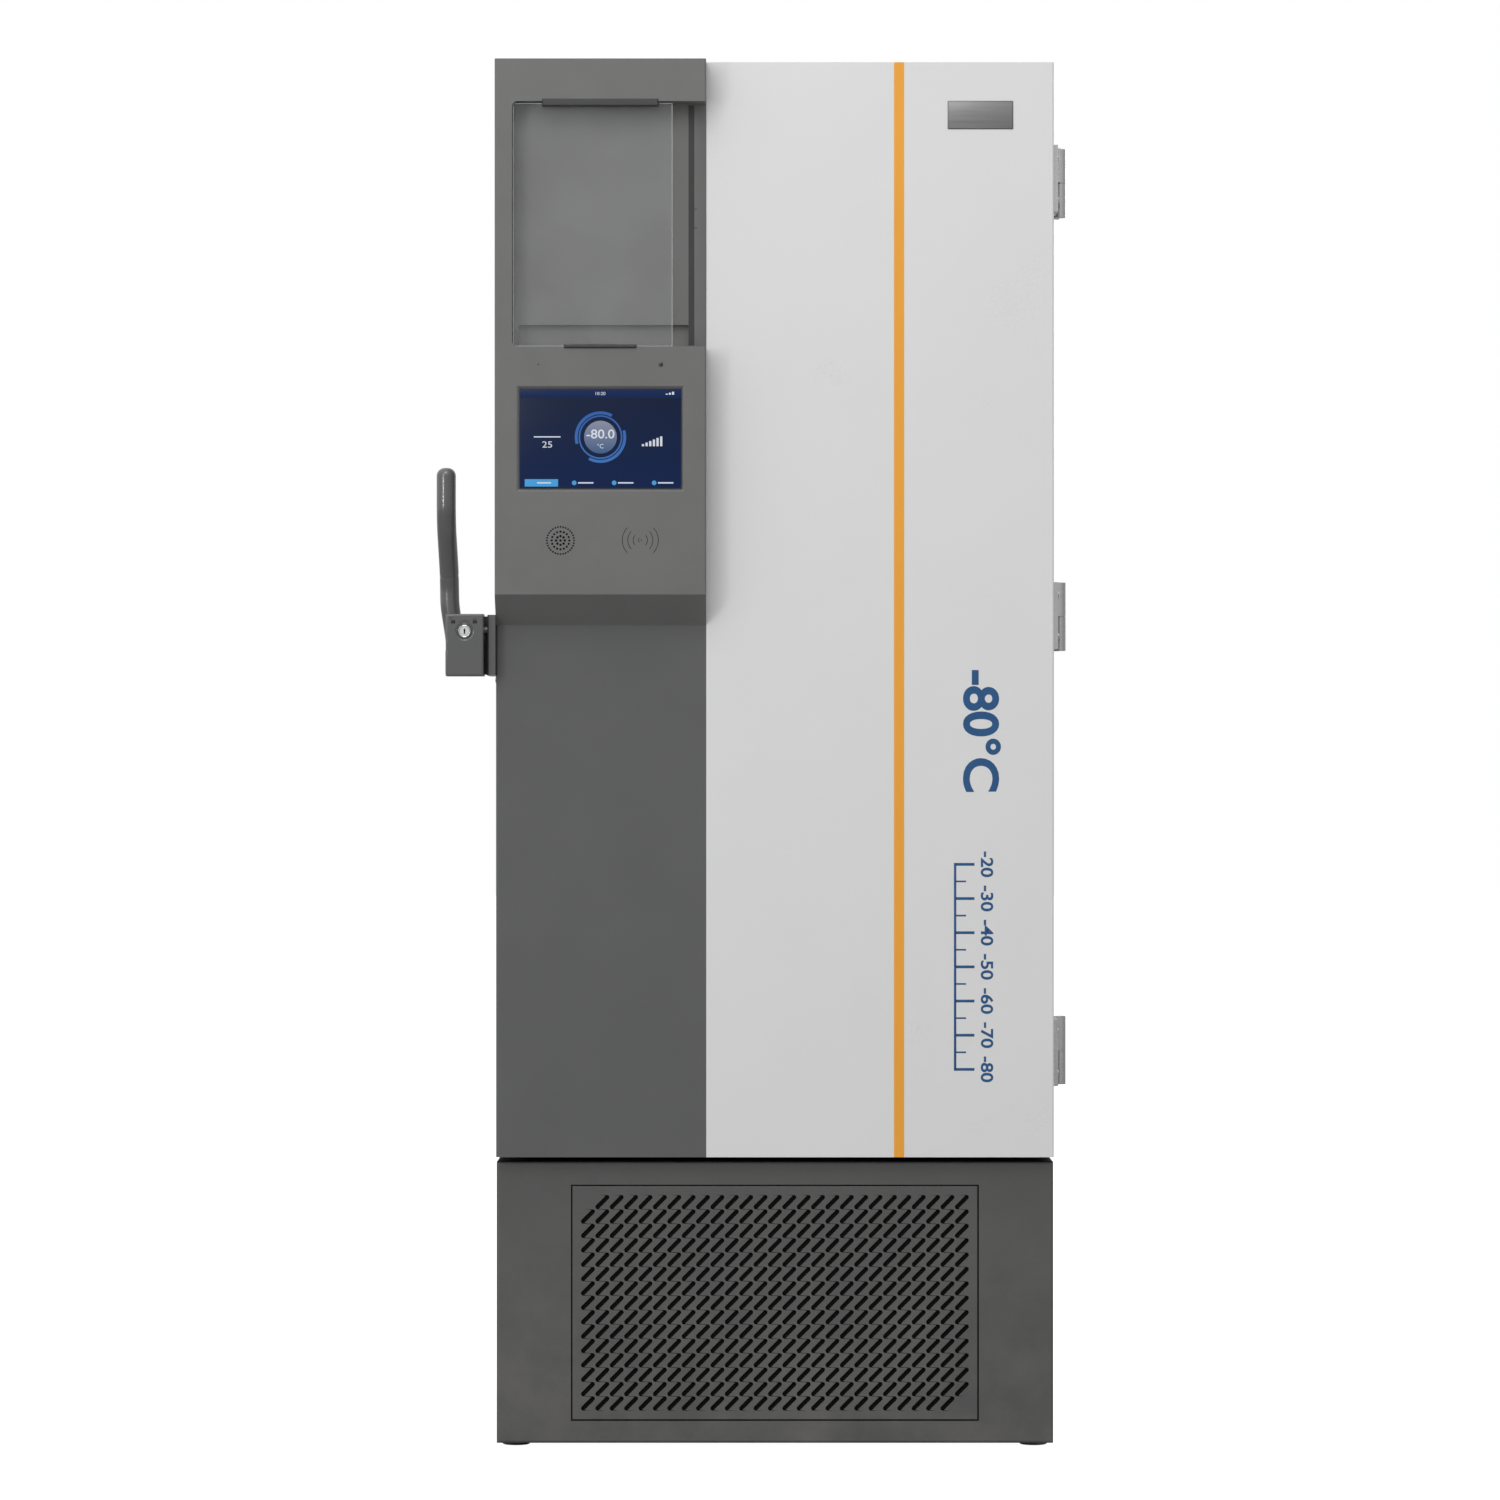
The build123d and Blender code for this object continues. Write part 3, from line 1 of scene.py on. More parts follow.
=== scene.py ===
import bmesh
import bpy
import numpy as np
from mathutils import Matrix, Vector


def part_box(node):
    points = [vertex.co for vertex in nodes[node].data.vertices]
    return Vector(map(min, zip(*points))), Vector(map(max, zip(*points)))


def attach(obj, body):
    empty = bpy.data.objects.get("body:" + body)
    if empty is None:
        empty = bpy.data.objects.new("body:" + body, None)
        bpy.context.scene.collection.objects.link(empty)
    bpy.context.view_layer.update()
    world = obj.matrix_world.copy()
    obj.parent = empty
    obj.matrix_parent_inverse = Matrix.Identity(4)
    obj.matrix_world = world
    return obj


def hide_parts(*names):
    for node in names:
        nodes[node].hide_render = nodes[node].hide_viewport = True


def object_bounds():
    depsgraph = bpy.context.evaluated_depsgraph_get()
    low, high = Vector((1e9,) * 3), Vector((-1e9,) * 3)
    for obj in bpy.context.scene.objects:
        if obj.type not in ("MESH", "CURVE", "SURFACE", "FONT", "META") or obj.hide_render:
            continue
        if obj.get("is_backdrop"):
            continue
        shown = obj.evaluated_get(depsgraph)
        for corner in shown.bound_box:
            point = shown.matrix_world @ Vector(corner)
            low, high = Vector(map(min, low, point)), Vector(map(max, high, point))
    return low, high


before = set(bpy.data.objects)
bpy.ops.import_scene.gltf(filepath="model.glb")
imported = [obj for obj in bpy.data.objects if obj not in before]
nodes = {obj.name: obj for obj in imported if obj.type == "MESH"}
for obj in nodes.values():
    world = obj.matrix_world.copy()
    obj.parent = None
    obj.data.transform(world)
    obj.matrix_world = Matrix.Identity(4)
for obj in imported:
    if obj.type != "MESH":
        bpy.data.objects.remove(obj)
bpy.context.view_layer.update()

# Cabinet: the folded steel box of the store and, under it, the housing of the machine compartment.
# Both are sheet steel with a baked light grey powder coat, folded, welded and screwed at the back.


def feed(node, values):
    """Gives each named or numbered socket of a shader node a constant, or a link from an output."""
    for key, value in values.items():
        if isinstance(value, bpy.types.NodeSocket):
            node.id_data.links.new(value, node.inputs[key])
        else:
            node.inputs[key].default_value = value


def add(tree, kind, values=None, **settings):
    """Adds a shader node, sets its settings and feeds its sockets."""
    node = tree.nodes.new(kind)
    for key, value in settings.items():
        setattr(node, key, value)
    feed(node, values or {})
    return node


def noise(tree, place, scale, detail, roughness=0.5):
    """Cloudy noise over a place: more detail adds finer layers, and roughness makes these stronger."""
    values = {"Vector": place, "Scale": scale, "Detail": detail, "Roughness": roughness}
    return add(tree, "ShaderNodeTexNoise", values).outputs["Fac"]


def combined(tree, first, second, operation="MULTIPLY"):
    """Two values made into one by an operation such as MULTIPLY or ADD."""
    return add(tree, "ShaderNodeMath", {0: first, 1: second}, operation=operation).outputs[0]


def remap(tree, value, low, high, to_low=0.0, to_high=1.0):
    """A value between low and high, carried to the same place between to_low and to_high."""
    values = {"Value": value, "From Min": low, "From Max": high, "To Min": to_low, "To Max": to_high}
    return add(tree, "ShaderNodeMapRange", values).outputs["Result"]


def mixed(tree, share, low, high):
    """A colour between low and high: a share of 0 gives low, and 1 gives high."""
    return add(tree, "ShaderNodeMix", {0: share, 6: low, 7: high}, data_type="RGBA").outputs[2]


def uneven(tree, tone, colour, share):
    """The colour, darker by the share where the tone is 0 and lighter by the share where it is 1."""
    low = [c * (1 - share) for c in colour] + [1.0]
    high = [min(1.0, c * (1 + share)) for c in colour] + [1.0]
    return mixed(tree, tone, low, high)


def bumped(tree, height, distance, strength=1.0):
    """The direction of a surface whose height varies by the distance."""
    values = {"Height": height, "Distance": distance, "Strength": strength}
    return add(tree, "ShaderNodeBump", values).outputs["Normal"]


def surface(name):
    """A new material, its node tree, its shader, and the place on the object that its textures use."""
    material = bpy.data.materials.new(name)
    material.use_nodes = True
    tree = material.node_tree
    return material, tree, tree.nodes["Principled BSDF"], add(tree, "ShaderNodeTexCoord").outputs["Object"]


def new_group(name, inputs, outputs):
    """An empty shader node group with its sockets, and the nodes that stand for its two ends."""
    tree = bpy.data.node_groups.new(name, "ShaderNodeTree")
    for label, kind, value in inputs:
        socket = tree.interface.new_socket(label, in_out="INPUT", socket_type=kind)
        if value is not None:
            socket.default_value = value
    for label, kind in outputs:
        tree.interface.new_socket(label, in_out="OUTPUT", socket_type=kind)
    return tree, tree.nodes.new("NodeGroupInput"), tree.nodes.new("NodeGroupOutput")


VECTOR, VALUE = "NodeSocketVector", "NodeSocketFloat"

# The grain of a baked or moulded skin: fine bumps, a slower swell under them, and an uneven tone.
surface_grain, ins, outs = new_group(
    "surface_grain",
    [("Place", VECTOR, None), ("Grain", VALUE, 900.0), ("Swell", VALUE, 12.0)],
    [("Height", VALUE), ("Tone", VALUE)],
)
fine = noise(surface_grain, ins.outputs["Place"], ins.outputs["Grain"], 3.0)
swell = noise(surface_grain, ins.outputs["Place"], ins.outputs["Swell"], 4.0)
peel = combined(surface_grain, swell, 0.35)
speck = combined(surface_grain, fine, 0.5)
feed(outs, {
    "Height": combined(surface_grain, fine, peel, "ADD"),
    "Tone": remap(surface_grain, combined(surface_grain, swell, speck, "ADD"), 0.45, 1.05),
})

# Dust and scuffs: thickest just above the floor, patchy, and gone by about the height of a knee.
floor_dust, ins, outs = new_group("floor_dust", [("Place", VECTOR, None)], [("Mask", VALUE)])
knee = 0.45
above = add(floor_dust, "ShaderNodeSeparateXYZ", {0: ins.outputs["Place"]}).outputs["Z"]
fall = remap(floor_dust, above, 0.0, knee, 1.0, 0.0)
patch = remap(floor_dust, noise(floor_dust, ins.outputs["Place"], 9.0, 6.0, 0.65), 0.35, 0.75)
feed(outs, {"Mask": combined(floor_dust, fall, patch)})
dust_colour = (0.42, 0.40, 0.37, 1.0)


def coated(
    name, colour, roughness, grain=900.0, swell=12.0, depth=0.00006, unevenness=0.06,
    dust=0.0, metallic=0.0, coat=0.0, specular=0.5,
):
    """A painted or moulded skin: an uneven tone of the colour, dust low down, and grain in bump and gloss."""
    material, tree, shader, place = surface(name)
    values = {"Place": place, "Grain": grain, "Swell": swell}
    skin = add(tree, "ShaderNodeGroup", values, node_tree=surface_grain)
    tone = skin.outputs["Tone"]
    dirt = add(tree, "ShaderNodeGroup", {"Place": place}, node_tree=floor_dust).outputs["Mask"]
    amount = combined(tree, dirt, dust)
    feed(shader, {
        "Base Color": mixed(tree, amount, uneven(tree, tone, colour, unevenness), dust_colour),
        "Roughness": remap(tree, tone, 0.0, 1.0, roughness * 0.88, min(1.0, roughness * 1.12)),
        "Normal": bumped(tree, skin.outputs["Height"], depth),
        "Metallic": metallic,
        "Coat Weight": coat,
        "Coat Roughness": 0.15,
        "Specular IOR Level": specular,
    })
    return material


def dress(node_names, material):
    """Gives carried-over nodes their finish, in their own material slots."""
    for node_name in node_names:
        mesh = nodes[node_name].data
        mesh.materials.clear()
        mesh.materials.append(material)


def placed(name, data):
    """A new object that holds the data, in the scene."""
    thing = bpy.data.objects.new(name, data)
    bpy.context.scene.collection.objects.link(thing)
    return thing


def smooth(mesh, crease):
    """Shades a mesh smooth, but keeps its edges over crease degrees sharp."""
    mesh.polygons.foreach_set("use_smooth", [True] * len(mesh.polygons))
    mesh.set_sharp_from_angle(angle=np.radians(crease))


def make_piece(name, parts, body, material, crease=32.0):
    """One object from (points, faces) pairs: shared points merge, faces turn outwards, and edges over crease
    degrees stay sharp."""
    points = np.concatenate([np.asarray(p, float).reshape(-1, 3) for p, _ in parts])
    faces, start = [], 0
    for part_points, part_faces in parts:
        faces += [[int(i) + start for i in face] for face in part_faces]
        start += np.asarray(part_points).reshape(-1, 3).shape[0]
    mesh = bpy.data.meshes.new(name)
    mesh.from_pydata(points.tolist(), [], faces)
    work = bmesh.new()
    work.from_mesh(mesh)
    bmesh.ops.remove_doubles(work, verts=work.verts, dist=2e-6)
    bmesh.ops.recalc_face_normals(work, faces=work.faces)
    work.to_mesh(mesh)
    work.free()
    smooth(mesh, crease)
    mesh.materials.append(material)
    piece = placed(name, mesh)
    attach(piece, body)
    return piece


def grid_faces(rows, columns, close_u=False, close_v=False):
    """Quads between the points of a rows by columns grid. A closed direction also joins its last line to its
    first."""
    u = np.arange(rows if close_u else rows - 1)
    v = np.arange(columns if close_v else columns - 1)
    u, v = [a.ravel() for a in np.meshgrid(u, v, indexing="ij")]
    next_u, next_v = (u + 1) % rows, (v + 1) % columns
    corners = [u * columns + v, next_u * columns + v, next_u * columns + next_v, u * columns + next_v]
    return np.stack(corners, 1)


cabinet_paint = coated(
    "cabinet_paint", (0.70, 0.70, 0.69), 0.42, grain=700, swell=9, depth=0.00005, unevenness=0.025,
    dust=0.35, coat=0.15,
)
dress(["outer_cabinet", "machine_housing", "door_shell"], cabinet_paint)


def end_faces(rows, columns):
    """The flat faces that close a tube of rows rings, each with columns points, at its two ends."""
    return [list(range(columns)), [(rows - 1) * columns + i for i in range(columns)]]


def turned(profile, centre, axis, sides, ring=False):
    """A turned shape: each (distance along the axis, radius) of the profile goes once round the axis in even
    steps. A ring's profile closes on itself; any other is closed by a flat face at each end."""
    profile = np.asarray(profile, float)
    axis = np.asarray(axis, float)
    across = np.array([0.0, 0.0, 1.0]) if abs(axis[2]) < 0.5 else np.array([1.0, 0.0, 0.0])
    up = np.cross(axis, across)
    turn = np.linspace(0, 2 * np.pi, sides, endpoint=False)
    round_trip = np.cos(turn)[:, None] * across + np.sin(turn)[:, None] * up
    points = np.asarray(centre) + profile[:, 0, None, None] * axis + profile[:, 1, None, None] * round_trip
    faces = grid_faces(len(profile), sides, close_u=ring, close_v=True).tolist()
    return points, faces if ring else faces + end_faces(len(profile), sides)


def soft_box(low, high, radius, steps=3):
    """A box with rounded edges: each point of a box surface moves to the nearest point that is one radius
    from the inner box, which is the box shrunk by the radius on every side."""
    low, high = np.asarray(low, float), np.asarray(high, float)
    inner_low, inner_high = low + radius, high - radius
    bend = radius * (1 - np.tan(np.linspace(0, np.pi / 4, steps + 1)))[::-1]
    lines = [np.concatenate([low[a] + bend, high[a] - bend[::-1]]) for a in range(3)]
    parts = []
    for a in range(3):
        b, c = (a + 1) % 3, (a + 2) % 3
        grid_b, grid_c = np.meshgrid(lines[b], lines[c], indexing="ij")
        for level in (low[a], high[a]):
            box = np.empty(grid_b.shape + (3,))
            box[..., a], box[..., b], box[..., c] = level, grid_b, grid_c
            nearest = np.clip(box, inner_low, inner_high)
            away = box - nearest
            away /= np.linalg.norm(away, axis=-1, keepdims=True)
            parts.append((nearest + radius * away, grid_faces(*grid_b.shape)))
    return parts


# Screws close the back of the cabinet, and pressed hoods on the louvres throw the warm air down.
steel_fixings = coated(
    "steel_fixings", (0.55, 0.55, 0.56), 0.32, grain=2200, swell=40, depth=0.00001, unevenness=0.10,
    dust=0.1, metallic=1.0,
)
screw_profile = [
    (0.0, 0.0046), (0.0008, 0.0046), (0.0019, 0.0038), (0.0024, 0.0026), (0.0024, 0.0018), (0.0012, 0.0014),
    (0.0012, 0.0002),
]
rear = 0.420
back_screws = []
for x in (-0.385, -0.13, 0.13, 0.385):
    for z in (0.440, 0.820, 1.200, 1.580, 1.965, 0.030, 0.395):
        if abs(x) > 0.3 or z in (0.440, 1.965, 0.395):
            back_screws.append(turned(screw_profile, (x, rear, z), (0, 1, 0), 12))
make_piece("back_panel_screws", back_screws, "cabinet", steel_fixings)

louvre_hoods = []
sweep = np.linspace(0, np.pi / 2, 7)
hood_radius, hood_half, louvre_pitch = 0.0085, 0.096, 0.022
for x in (-0.020, 0.220):
    for row in range(7):
        z = 0.260 + (row - 3) * louvre_pitch
        shells = []
        for radius, lift in ((hood_radius, 0.0045), (hood_radius - 0.001, 0.0035)):
            hood_y, hood_z = rear + radius * np.sin(sweep), z + lift - radius * (1 - np.cos(sweep))
            shells.append(np.stack([hood_y, hood_z], 1))
        outline = np.concatenate([shells[0], shells[1][::-1]])
        points = np.empty((2, len(outline), 3))
        points[..., 0] = np.array([x - hood_half, x + hood_half])[:, None]
        points[..., 1:] = outline
        faces = grid_faces(2, len(outline), close_v=True).tolist()
        louvre_hoods.append((points, faces + end_faces(2, len(outline))))
make_piece("louvre_hoods", louvre_hoods, "cabinet", cabinet_paint, crease=50)

# Insulation and evaporator: rigid polyurethane foam poured between skin and liner, round the coil.
# It is cream where it is cut, with small closed cells. The coil is copper tube, flattened on the liner.
foam = coated(
    "foam", (0.66, 0.55, 0.30), 0.9, grain=1400, swell=60, depth=0.0004, unevenness=0.16, specular=0.2
)
dress(["cabinet_insulation", "door_insulation"], foam)
copper = coated(
    "copper", (0.62, 0.27, 0.14), 0.34, grain=500, swell=25, depth=0.00002, unevenness=0.25, metallic=1.0
)
dress(["evaporator_coil", "refrigerant_pipes"], copper)

# Base: a moulded charcoal bezel round a slotted grille that clips over the air filter.
# The bezel and the grille are the same grained ABS; the filter behind is a black washable mesh.
base_plastic = coated(
    "base_plastic", (0.094, 0.094, 0.093), 0.55, grain=1100, swell=14, depth=0.00009, unevenness=0.05,
    dust=0.16, specular=0.4,
)


def bake_modifiers(piece, name, crease):
    """Makes a piece with modifiers a plain mesh, whose large faces set the shading of the small ones."""
    for step in ("shape", "shading"):
        scene_now = bpy.context.evaluated_depsgraph_get()
        shown = piece.evaluated_get(scene_now)
        fixed = bpy.data.meshes.new_from_object(shown, preserve_all_data_layers=True, depsgraph=scene_now)
        fixed.name = name
        piece.modifiers.clear()
        piece.data = fixed
        if step == "shape":
            smooth(fixed, crease)
            shading = piece.modifiers.new("even_shading", "WEIGHTED_NORMAL")
            shading.keep_sharp = True


def softened(node_name, name, width, body, material):
    """A copy of a moulded node with its points merged, flat faces joined and every edge over crease degrees
    rounded by width."""
    crease = 30.0
    mesh = nodes[node_name].data.copy()
    mesh.name = name
    work = bmesh.new()
    work.from_mesh(mesh)
    bmesh.ops.remove_doubles(work, verts=work.verts, dist=1e-6)
    bmesh.ops.dissolve_limit(work, angle_limit=np.radians(0.5), verts=work.verts, edges=work.edges)
    work.to_mesh(mesh)
    work.free()
    mesh.materials.clear()
    mesh.materials.append(material)
    piece = placed(name, mesh)
    bevel = piece.modifiers.new("rounded_edges", "BEVEL")
    bevel.limit_method = "ANGLE"
    bevel.angle_limit = np.radians(crease)
    bevel.width = width
    bevel.segments = 2
    bake_modifiers(piece, name, crease)
    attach(piece, body)
    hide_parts(node_name)
    return piece


dress(["base_front_panel"], base_plastic)
# A near-black sheet lies on the base's top under the door's foot: painted shade, so the gap between door and
# base reads black.
gap_shade_black = coated(
    "gap_shade_black", (0.010, 0.010, 0.010), 0.8, grain=1500, swell=60, depth=0.0001, unevenness=0.2,
    specular=0.1,
)
gap_shade_sheet = soft_box((-0.3985, -0.4185, 0.4121), (0.3985, -0.3270, 0.4127), 0.0002, 1)
make_piece("gap_shade_strip", gap_shade_sheet, "cabinet", gap_shade_black)

filter_mesh = coated(
    "filter_mesh", (0.006, 0.006, 0.006), 0.95, grain=1600, swell=900, depth=0.0003, unevenness=0.5,
    specular=0.1,
)
dress(["air_filter"], filter_mesh)

# The grille: each slot sits in its own square cell and climbs at 45 degrees. A cell's face runs from the
# square to the slot's rounded rim, then the rim turns in and down the slot's wall. Two cells are plain.
MM = 0.001
columns, rows, rim_points = 27, 15, 16
pitch, slot_long, slot_wide, rim = 20.66 * MM, 26.3 * MM, 6.6 * MM, 0.5 * MM
half_line, slot_r, cell_half = (slot_long - slot_wide) / 2, slot_wide / 2, pitch / 2
around = np.linspace(0, 2 * np.pi, rim_points, endpoint=False)
bearing = np.pi / 4 + around + np.pi / rim_points
heading = np.stack([np.cos(bearing), np.sin(bearing)], 1)
square = heading / np.abs(heading).max(1, keepdims=True) * cell_half
corners = np.array([[1, 1], [-1, 1], [-1, -1], [1, -1]]) * cell_half
nearest_point = np.argmin(np.linalg.norm(square[:, None] - corners[None], axis=2), axis=0)
square[nearest_point] = corners
line = np.array([1, 1]) / np.sqrt(2)
side = np.array([-1, 1]) / np.sqrt(2)
end_turn = np.linspace(-np.pi / 2, np.pi / 2, rim_points // 2)
far_end = half_line * line + slot_r * (np.cos(end_turn)[:, None] * line + np.sin(end_turn)[:, None] * side)
slot_rim = np.concatenate([far_end, -far_end])
order = np.argsort(np.unwrap(np.arctan2(slot_rim[:, 1], slot_rim[:, 0])) % (2 * np.pi))
slot_rim = slot_rim[order]
square = square[np.argsort(np.arctan2(square[:, 1], square[:, 0]) % (2 * np.pi))]
inner_rim = slot_rim * (1 - rim / np.linalg.norm(slot_rim, axis=1, keepdims=True) * 0.8)
front_y, back_y = -0.4200, -0.4175
rings = [(square, front_y), (slot_rim, front_y), (inner_rim, front_y + rim)]
rings += [(inner_rim, back_y), (square, back_y)]
cell = np.empty((len(rings), rim_points, 3))
for index, (ring, y) in enumerate(rings):
    cell[index, :, 0], cell[index, :, 1], cell[index, :, 2] = ring[:, 0], y, ring[:, 1]
cell_faces = grid_faces(len(rings), rim_points, close_v=True)
grille_z = (42.0 + 335.4 / 2) * MM
column, row = [a.ravel() for a in np.meshgrid(np.arange(columns), np.arange(rows), indexing="ij")]
plain = ((column == 0) & (row == rows - 1)) | ((column == columns - 1) & (row == 0))
offset = np.zeros((columns * rows, 3))
offset[:, 0] = (column - columns // 2) * pitch
offset[:, 2] = grille_z + (row - rows // 2) * pitch
cells = (cell[None] + offset[~plain][:, None, None]).reshape(-1, 3)
first_points = len(rings) * rim_points * np.arange(np.count_nonzero(~plain))
faces = (cell_faces[None] + first_points[:, None, None]).reshape(-1, 4)
grille_parts = [(cells, faces)]
for place in offset[plain]:
    for y in (front_y, back_y):
        ring = np.stack([square[:, 0] + place[0], np.full(rim_points, y), square[:, 1] + place[2]], 1)
        grille_parts.append((ring, [list(range(rim_points))]))
# Round the cells runs a plain margin with a rounded outer edge, from the outermost cells to the seam.
field_x, field_z, edge_x, edge_z = columns / 2 * pitch, rows / 2 * pitch, 0.291, 0.1677
round_off = 0.0008
margin = [(0.0, front_y), (1.0, front_y), (1.0, front_y + round_off), (1.0, back_y), (0.0, back_y)]
share = np.array([m[0] for m in margin])[:, None]
depth_y = np.array([m[1] for m in margin])[:, None]
draw_in = np.array([0.0, round_off, 0.0, 0.0, 0.0])[:, None]
ticks_x = (np.arange(columns + 1) - columns / 2) * pitch
ticks_z = (np.arange(rows + 1) - rows / 2) * pitch
loop = np.concatenate([
    np.stack([ticks_x, np.full_like(ticks_x, field_z)], 1)[:-1],
    np.stack([np.full_like(ticks_z, field_x), ticks_z[::-1]], 1)[:-1],
    np.stack([ticks_x[::-1], np.full_like(ticks_x, -field_z)], 1)[:-1],
    np.stack([np.full_like(ticks_z, -field_x), ticks_z], 1)[:-1],
])
outer = loop * np.array([edge_x / field_x, edge_z / field_z])
frame_points = np.empty((len(margin), len(loop), 3))
for axis, edge in ((0, edge_x), (1, edge_z)):
    reach = outer[None, :, axis] * share * (1 - draw_in / edge)
    frame_points[..., 2 * axis] = loop[None, :, axis] * (1 - share) + reach
frame_points[..., 2] += grille_z
frame_points[..., 1] = depth_y
grille_parts.append((frame_points, grid_faces(len(margin), len(loop), close_v=True)))
grille = make_piece("slotted_grille", grille_parts, "cabinet", base_plastic, crease=40)
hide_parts("grille_panel")

# Base pan and running gear: galvanised pan and forks, grey rubber treads and two screwed feet.
# The castors' wheels are turned tyres on nylon hubs; the feet are rubber pads on threaded studs.
galvanised, tree, shader, place = surface("galvanised")
spangle = add(tree, "ShaderNodeTexVoronoi", {"Vector": place, "Scale": 90.0}).outputs["Color"]
tint = add(tree, "ShaderNodeSeparateColor", {0: spangle})
feed(shader, {
    "Base Color": mixed(tree, tint.outputs[0], (0.36, 0.37, 0.38, 1), (0.52, 0.53, 0.54, 1)),
    "Roughness": remap(tree, tint.outputs[1], 0.0, 1.0, 0.35, 0.55),
    "Metallic": 1.0,
})
corner_names = ["front_left", "front_right", "rear_left", "rear_right"]
dress(["base_pan", "fan_shroud"] + ["castor_fork_" + c for c in corner_names], galvanised)

tread_rubber = coated(
    "tread_rubber", (0.055, 0.055, 0.06), 0.75, grain=1500, swell=60, depth=0.0001, unevenness=0.2,
    dust=0.9, specular=0.3,
)
wheel_nylon = coated(
    "wheel_nylon", (0.30, 0.30, 0.31), 0.5, grain=1200, swell=50, depth=0.00004, unevenness=0.08, dust=0.6
)
rounded = [(0.010 * a, 0.0250 - 0.0022 * a**4) for a in np.linspace(-1, 1, 9)]
tyre = [(-0.010, 0.0170)] + rounded + [(0.010, 0.0170)]
hub = [(-0.0098, 0.0045), (-0.0098, 0.0070), (-0.0070, 0.0080), (-0.0070, 0.0150), (-0.0098, 0.0168)]
hub += [(-along, radius) for along, radius in reversed(hub)]
wheel_places = ((-0.300, -0.317), (0.300, -0.317), (-0.300, 0.353), (0.300, 0.353))
for corner, (x, y) in zip(corner_names, wheel_places):
    tread = [turned(tyre, (x, y, 0.025), (1, 0, 0), 40)]
    wheel = make_piece("wheel_tread_" + corner, tread, "wheel_" + corner, tread_rubber)
    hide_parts("castor_wheel_" + corner)
    core = [turned(hub, (x, y, 0.025), (1, 0, 0), 40)]
    make_piece("wheel_hub_" + corner, core, "wheel_" + corner, wheel_nylon)

foot = [(0.0, 0.0185), (0.0010, 0.0200), (0.0050, 0.0200), (0.0068, 0.0170), (0.0080, 0.0100)]
foot += [(0.0120, 0.0095), (0.0120, 0.0060)]
turns = np.arange(0.0130, 0.0660, 0.0010)
foot += [(z, 0.0060 if i % 2 else 0.0053) for i, z in enumerate(turns)]
foot += [(0.0679, 0.0060)]
foot_parts = [turned(foot, (x, -0.360, 0.0), (0, 0, 1), 28) for x in (-0.374, 0.374)]
feet = make_piece("levelling_screws", foot_parts, "cabinet", tread_rubber)
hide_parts("levelling_feet")

# Machinery: two hermetic compressors, the cascade heat exchanger, condenser, fan and control box.
# Black enamelled shells, a grey foam box, aluminium fins between tube sheets, and moulded fan parts.
enamel = coated(
    "compressor_enamel", (0.018, 0.018, 0.020), 0.28, grain=600, swell=18, depth=0.00008, unevenness=0.15,
    dust=0.3, coat=0.4,
)
dress(["high_stage_compressor", "low_stage_compressor"], enamel)
box_paint = coated(
    "box_paint", (0.33, 0.34, 0.35), 0.45, grain=800, swell=14, depth=0.00005, unevenness=0.05, dust=0.25
)
dress(["heat_exchanger", "control_box"], box_paint)
black_plastic = coated(
    "black_plastic", (0.022, 0.022, 0.023), 0.5, grain=1300, swell=20, depth=0.00008, unevenness=0.12,
    dust=0.2,
)
dress(["fan_motor", "fan_blades", "power_inlet", "rear_spacers", "access_port", "speaker"], black_plastic)
# The fins are drawn as stripes on the coil's block: the bright bands are the aluminium, and the dark bands
# between them are painted shade in the gaps between fins.
fins, tree, shader, place = surface("condenser_fins")
values = {"Vector": place, "Scale": 180.0, "Distortion": 0.3}
lines = add(tree, "ShaderNodeTexWave", values, bands_direction="X").outputs["Fac"]
feed(shader, {
    "Base Color": mixed(tree, lines, (0.10, 0.10, 0.11, 1), (0.62, 0.63, 0.64, 1)),
    "Normal": bumped(tree, lines, 0.001),
    "Metallic": 0.9,
    "Roughness": 0.4,
})
dress(["condenser_coil"], fins)

# Back fittings: rubber bumpers, the access port's stopper and the mains inlet with its three pins.
# The bumpers are soft mouldings screwed on; the inlet is a flanged appliance socket.
bumper_parts = []
for x in (-0.330, 0.330):
    for z in (0.700, 1.800):
        low, high = (x - 0.022, rear, z - 0.022), (x + 0.022, rear + 0.025, z + 0.022)
        bumper_parts += soft_box(low, high, 0.0055, 4)
bumpers = make_piece("wall_bumpers", bumper_parts, "cabinet", tread_rubber)
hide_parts("rear_spacers")
pins = []
for x in (-0.3412, -0.3300, -0.3188):
    pins += soft_box((x - 0.0010, 0.4035, 0.3245), (x + 0.0010, rear, 0.3355), 0.0005, 2)
make_piece("inlet_pins", pins, "cabinet", steel_fixings)
sleeve_profile = [
    (0.0, 0.0196), (0.0022, 0.0200), (0.0030, 0.0190), (0.0030, 0.0124), (0.0056, 0.0118), (0.0060, 0.0108),
    (0.0060, 0.0002),
]
cap = [turned(sleeve_profile, (-0.180, rear + 0.0001, 1.700), (0, 1, 0), 40)]
make_piece("port_cap", cap, "cabinet", tread_rubber)

# Store: the stainless liner with its shelf channels, three trays and the plastic rim at the mouth.
# All of it is brushed stainless with a fine sideways grain; the rim is matt grey plastic, a poor conductor.
brushed_lines, ins, outs = new_group(
    "brushed_lines", [("Place", VECTOR, None)], [("Height", VALUE), ("Tone", VALUE)]
)
streak = noise(brushed_lines, ins.outputs["Place"], 60.0, 5.0, 0.7)
broad = noise(brushed_lines, ins.outputs["Place"], 4.0, 2.0)
blend = combined(brushed_lines, streak, broad)
feed(outs, {"Height": streak, "Tone": remap(brushed_lines, blend, 0.1, 0.45)})


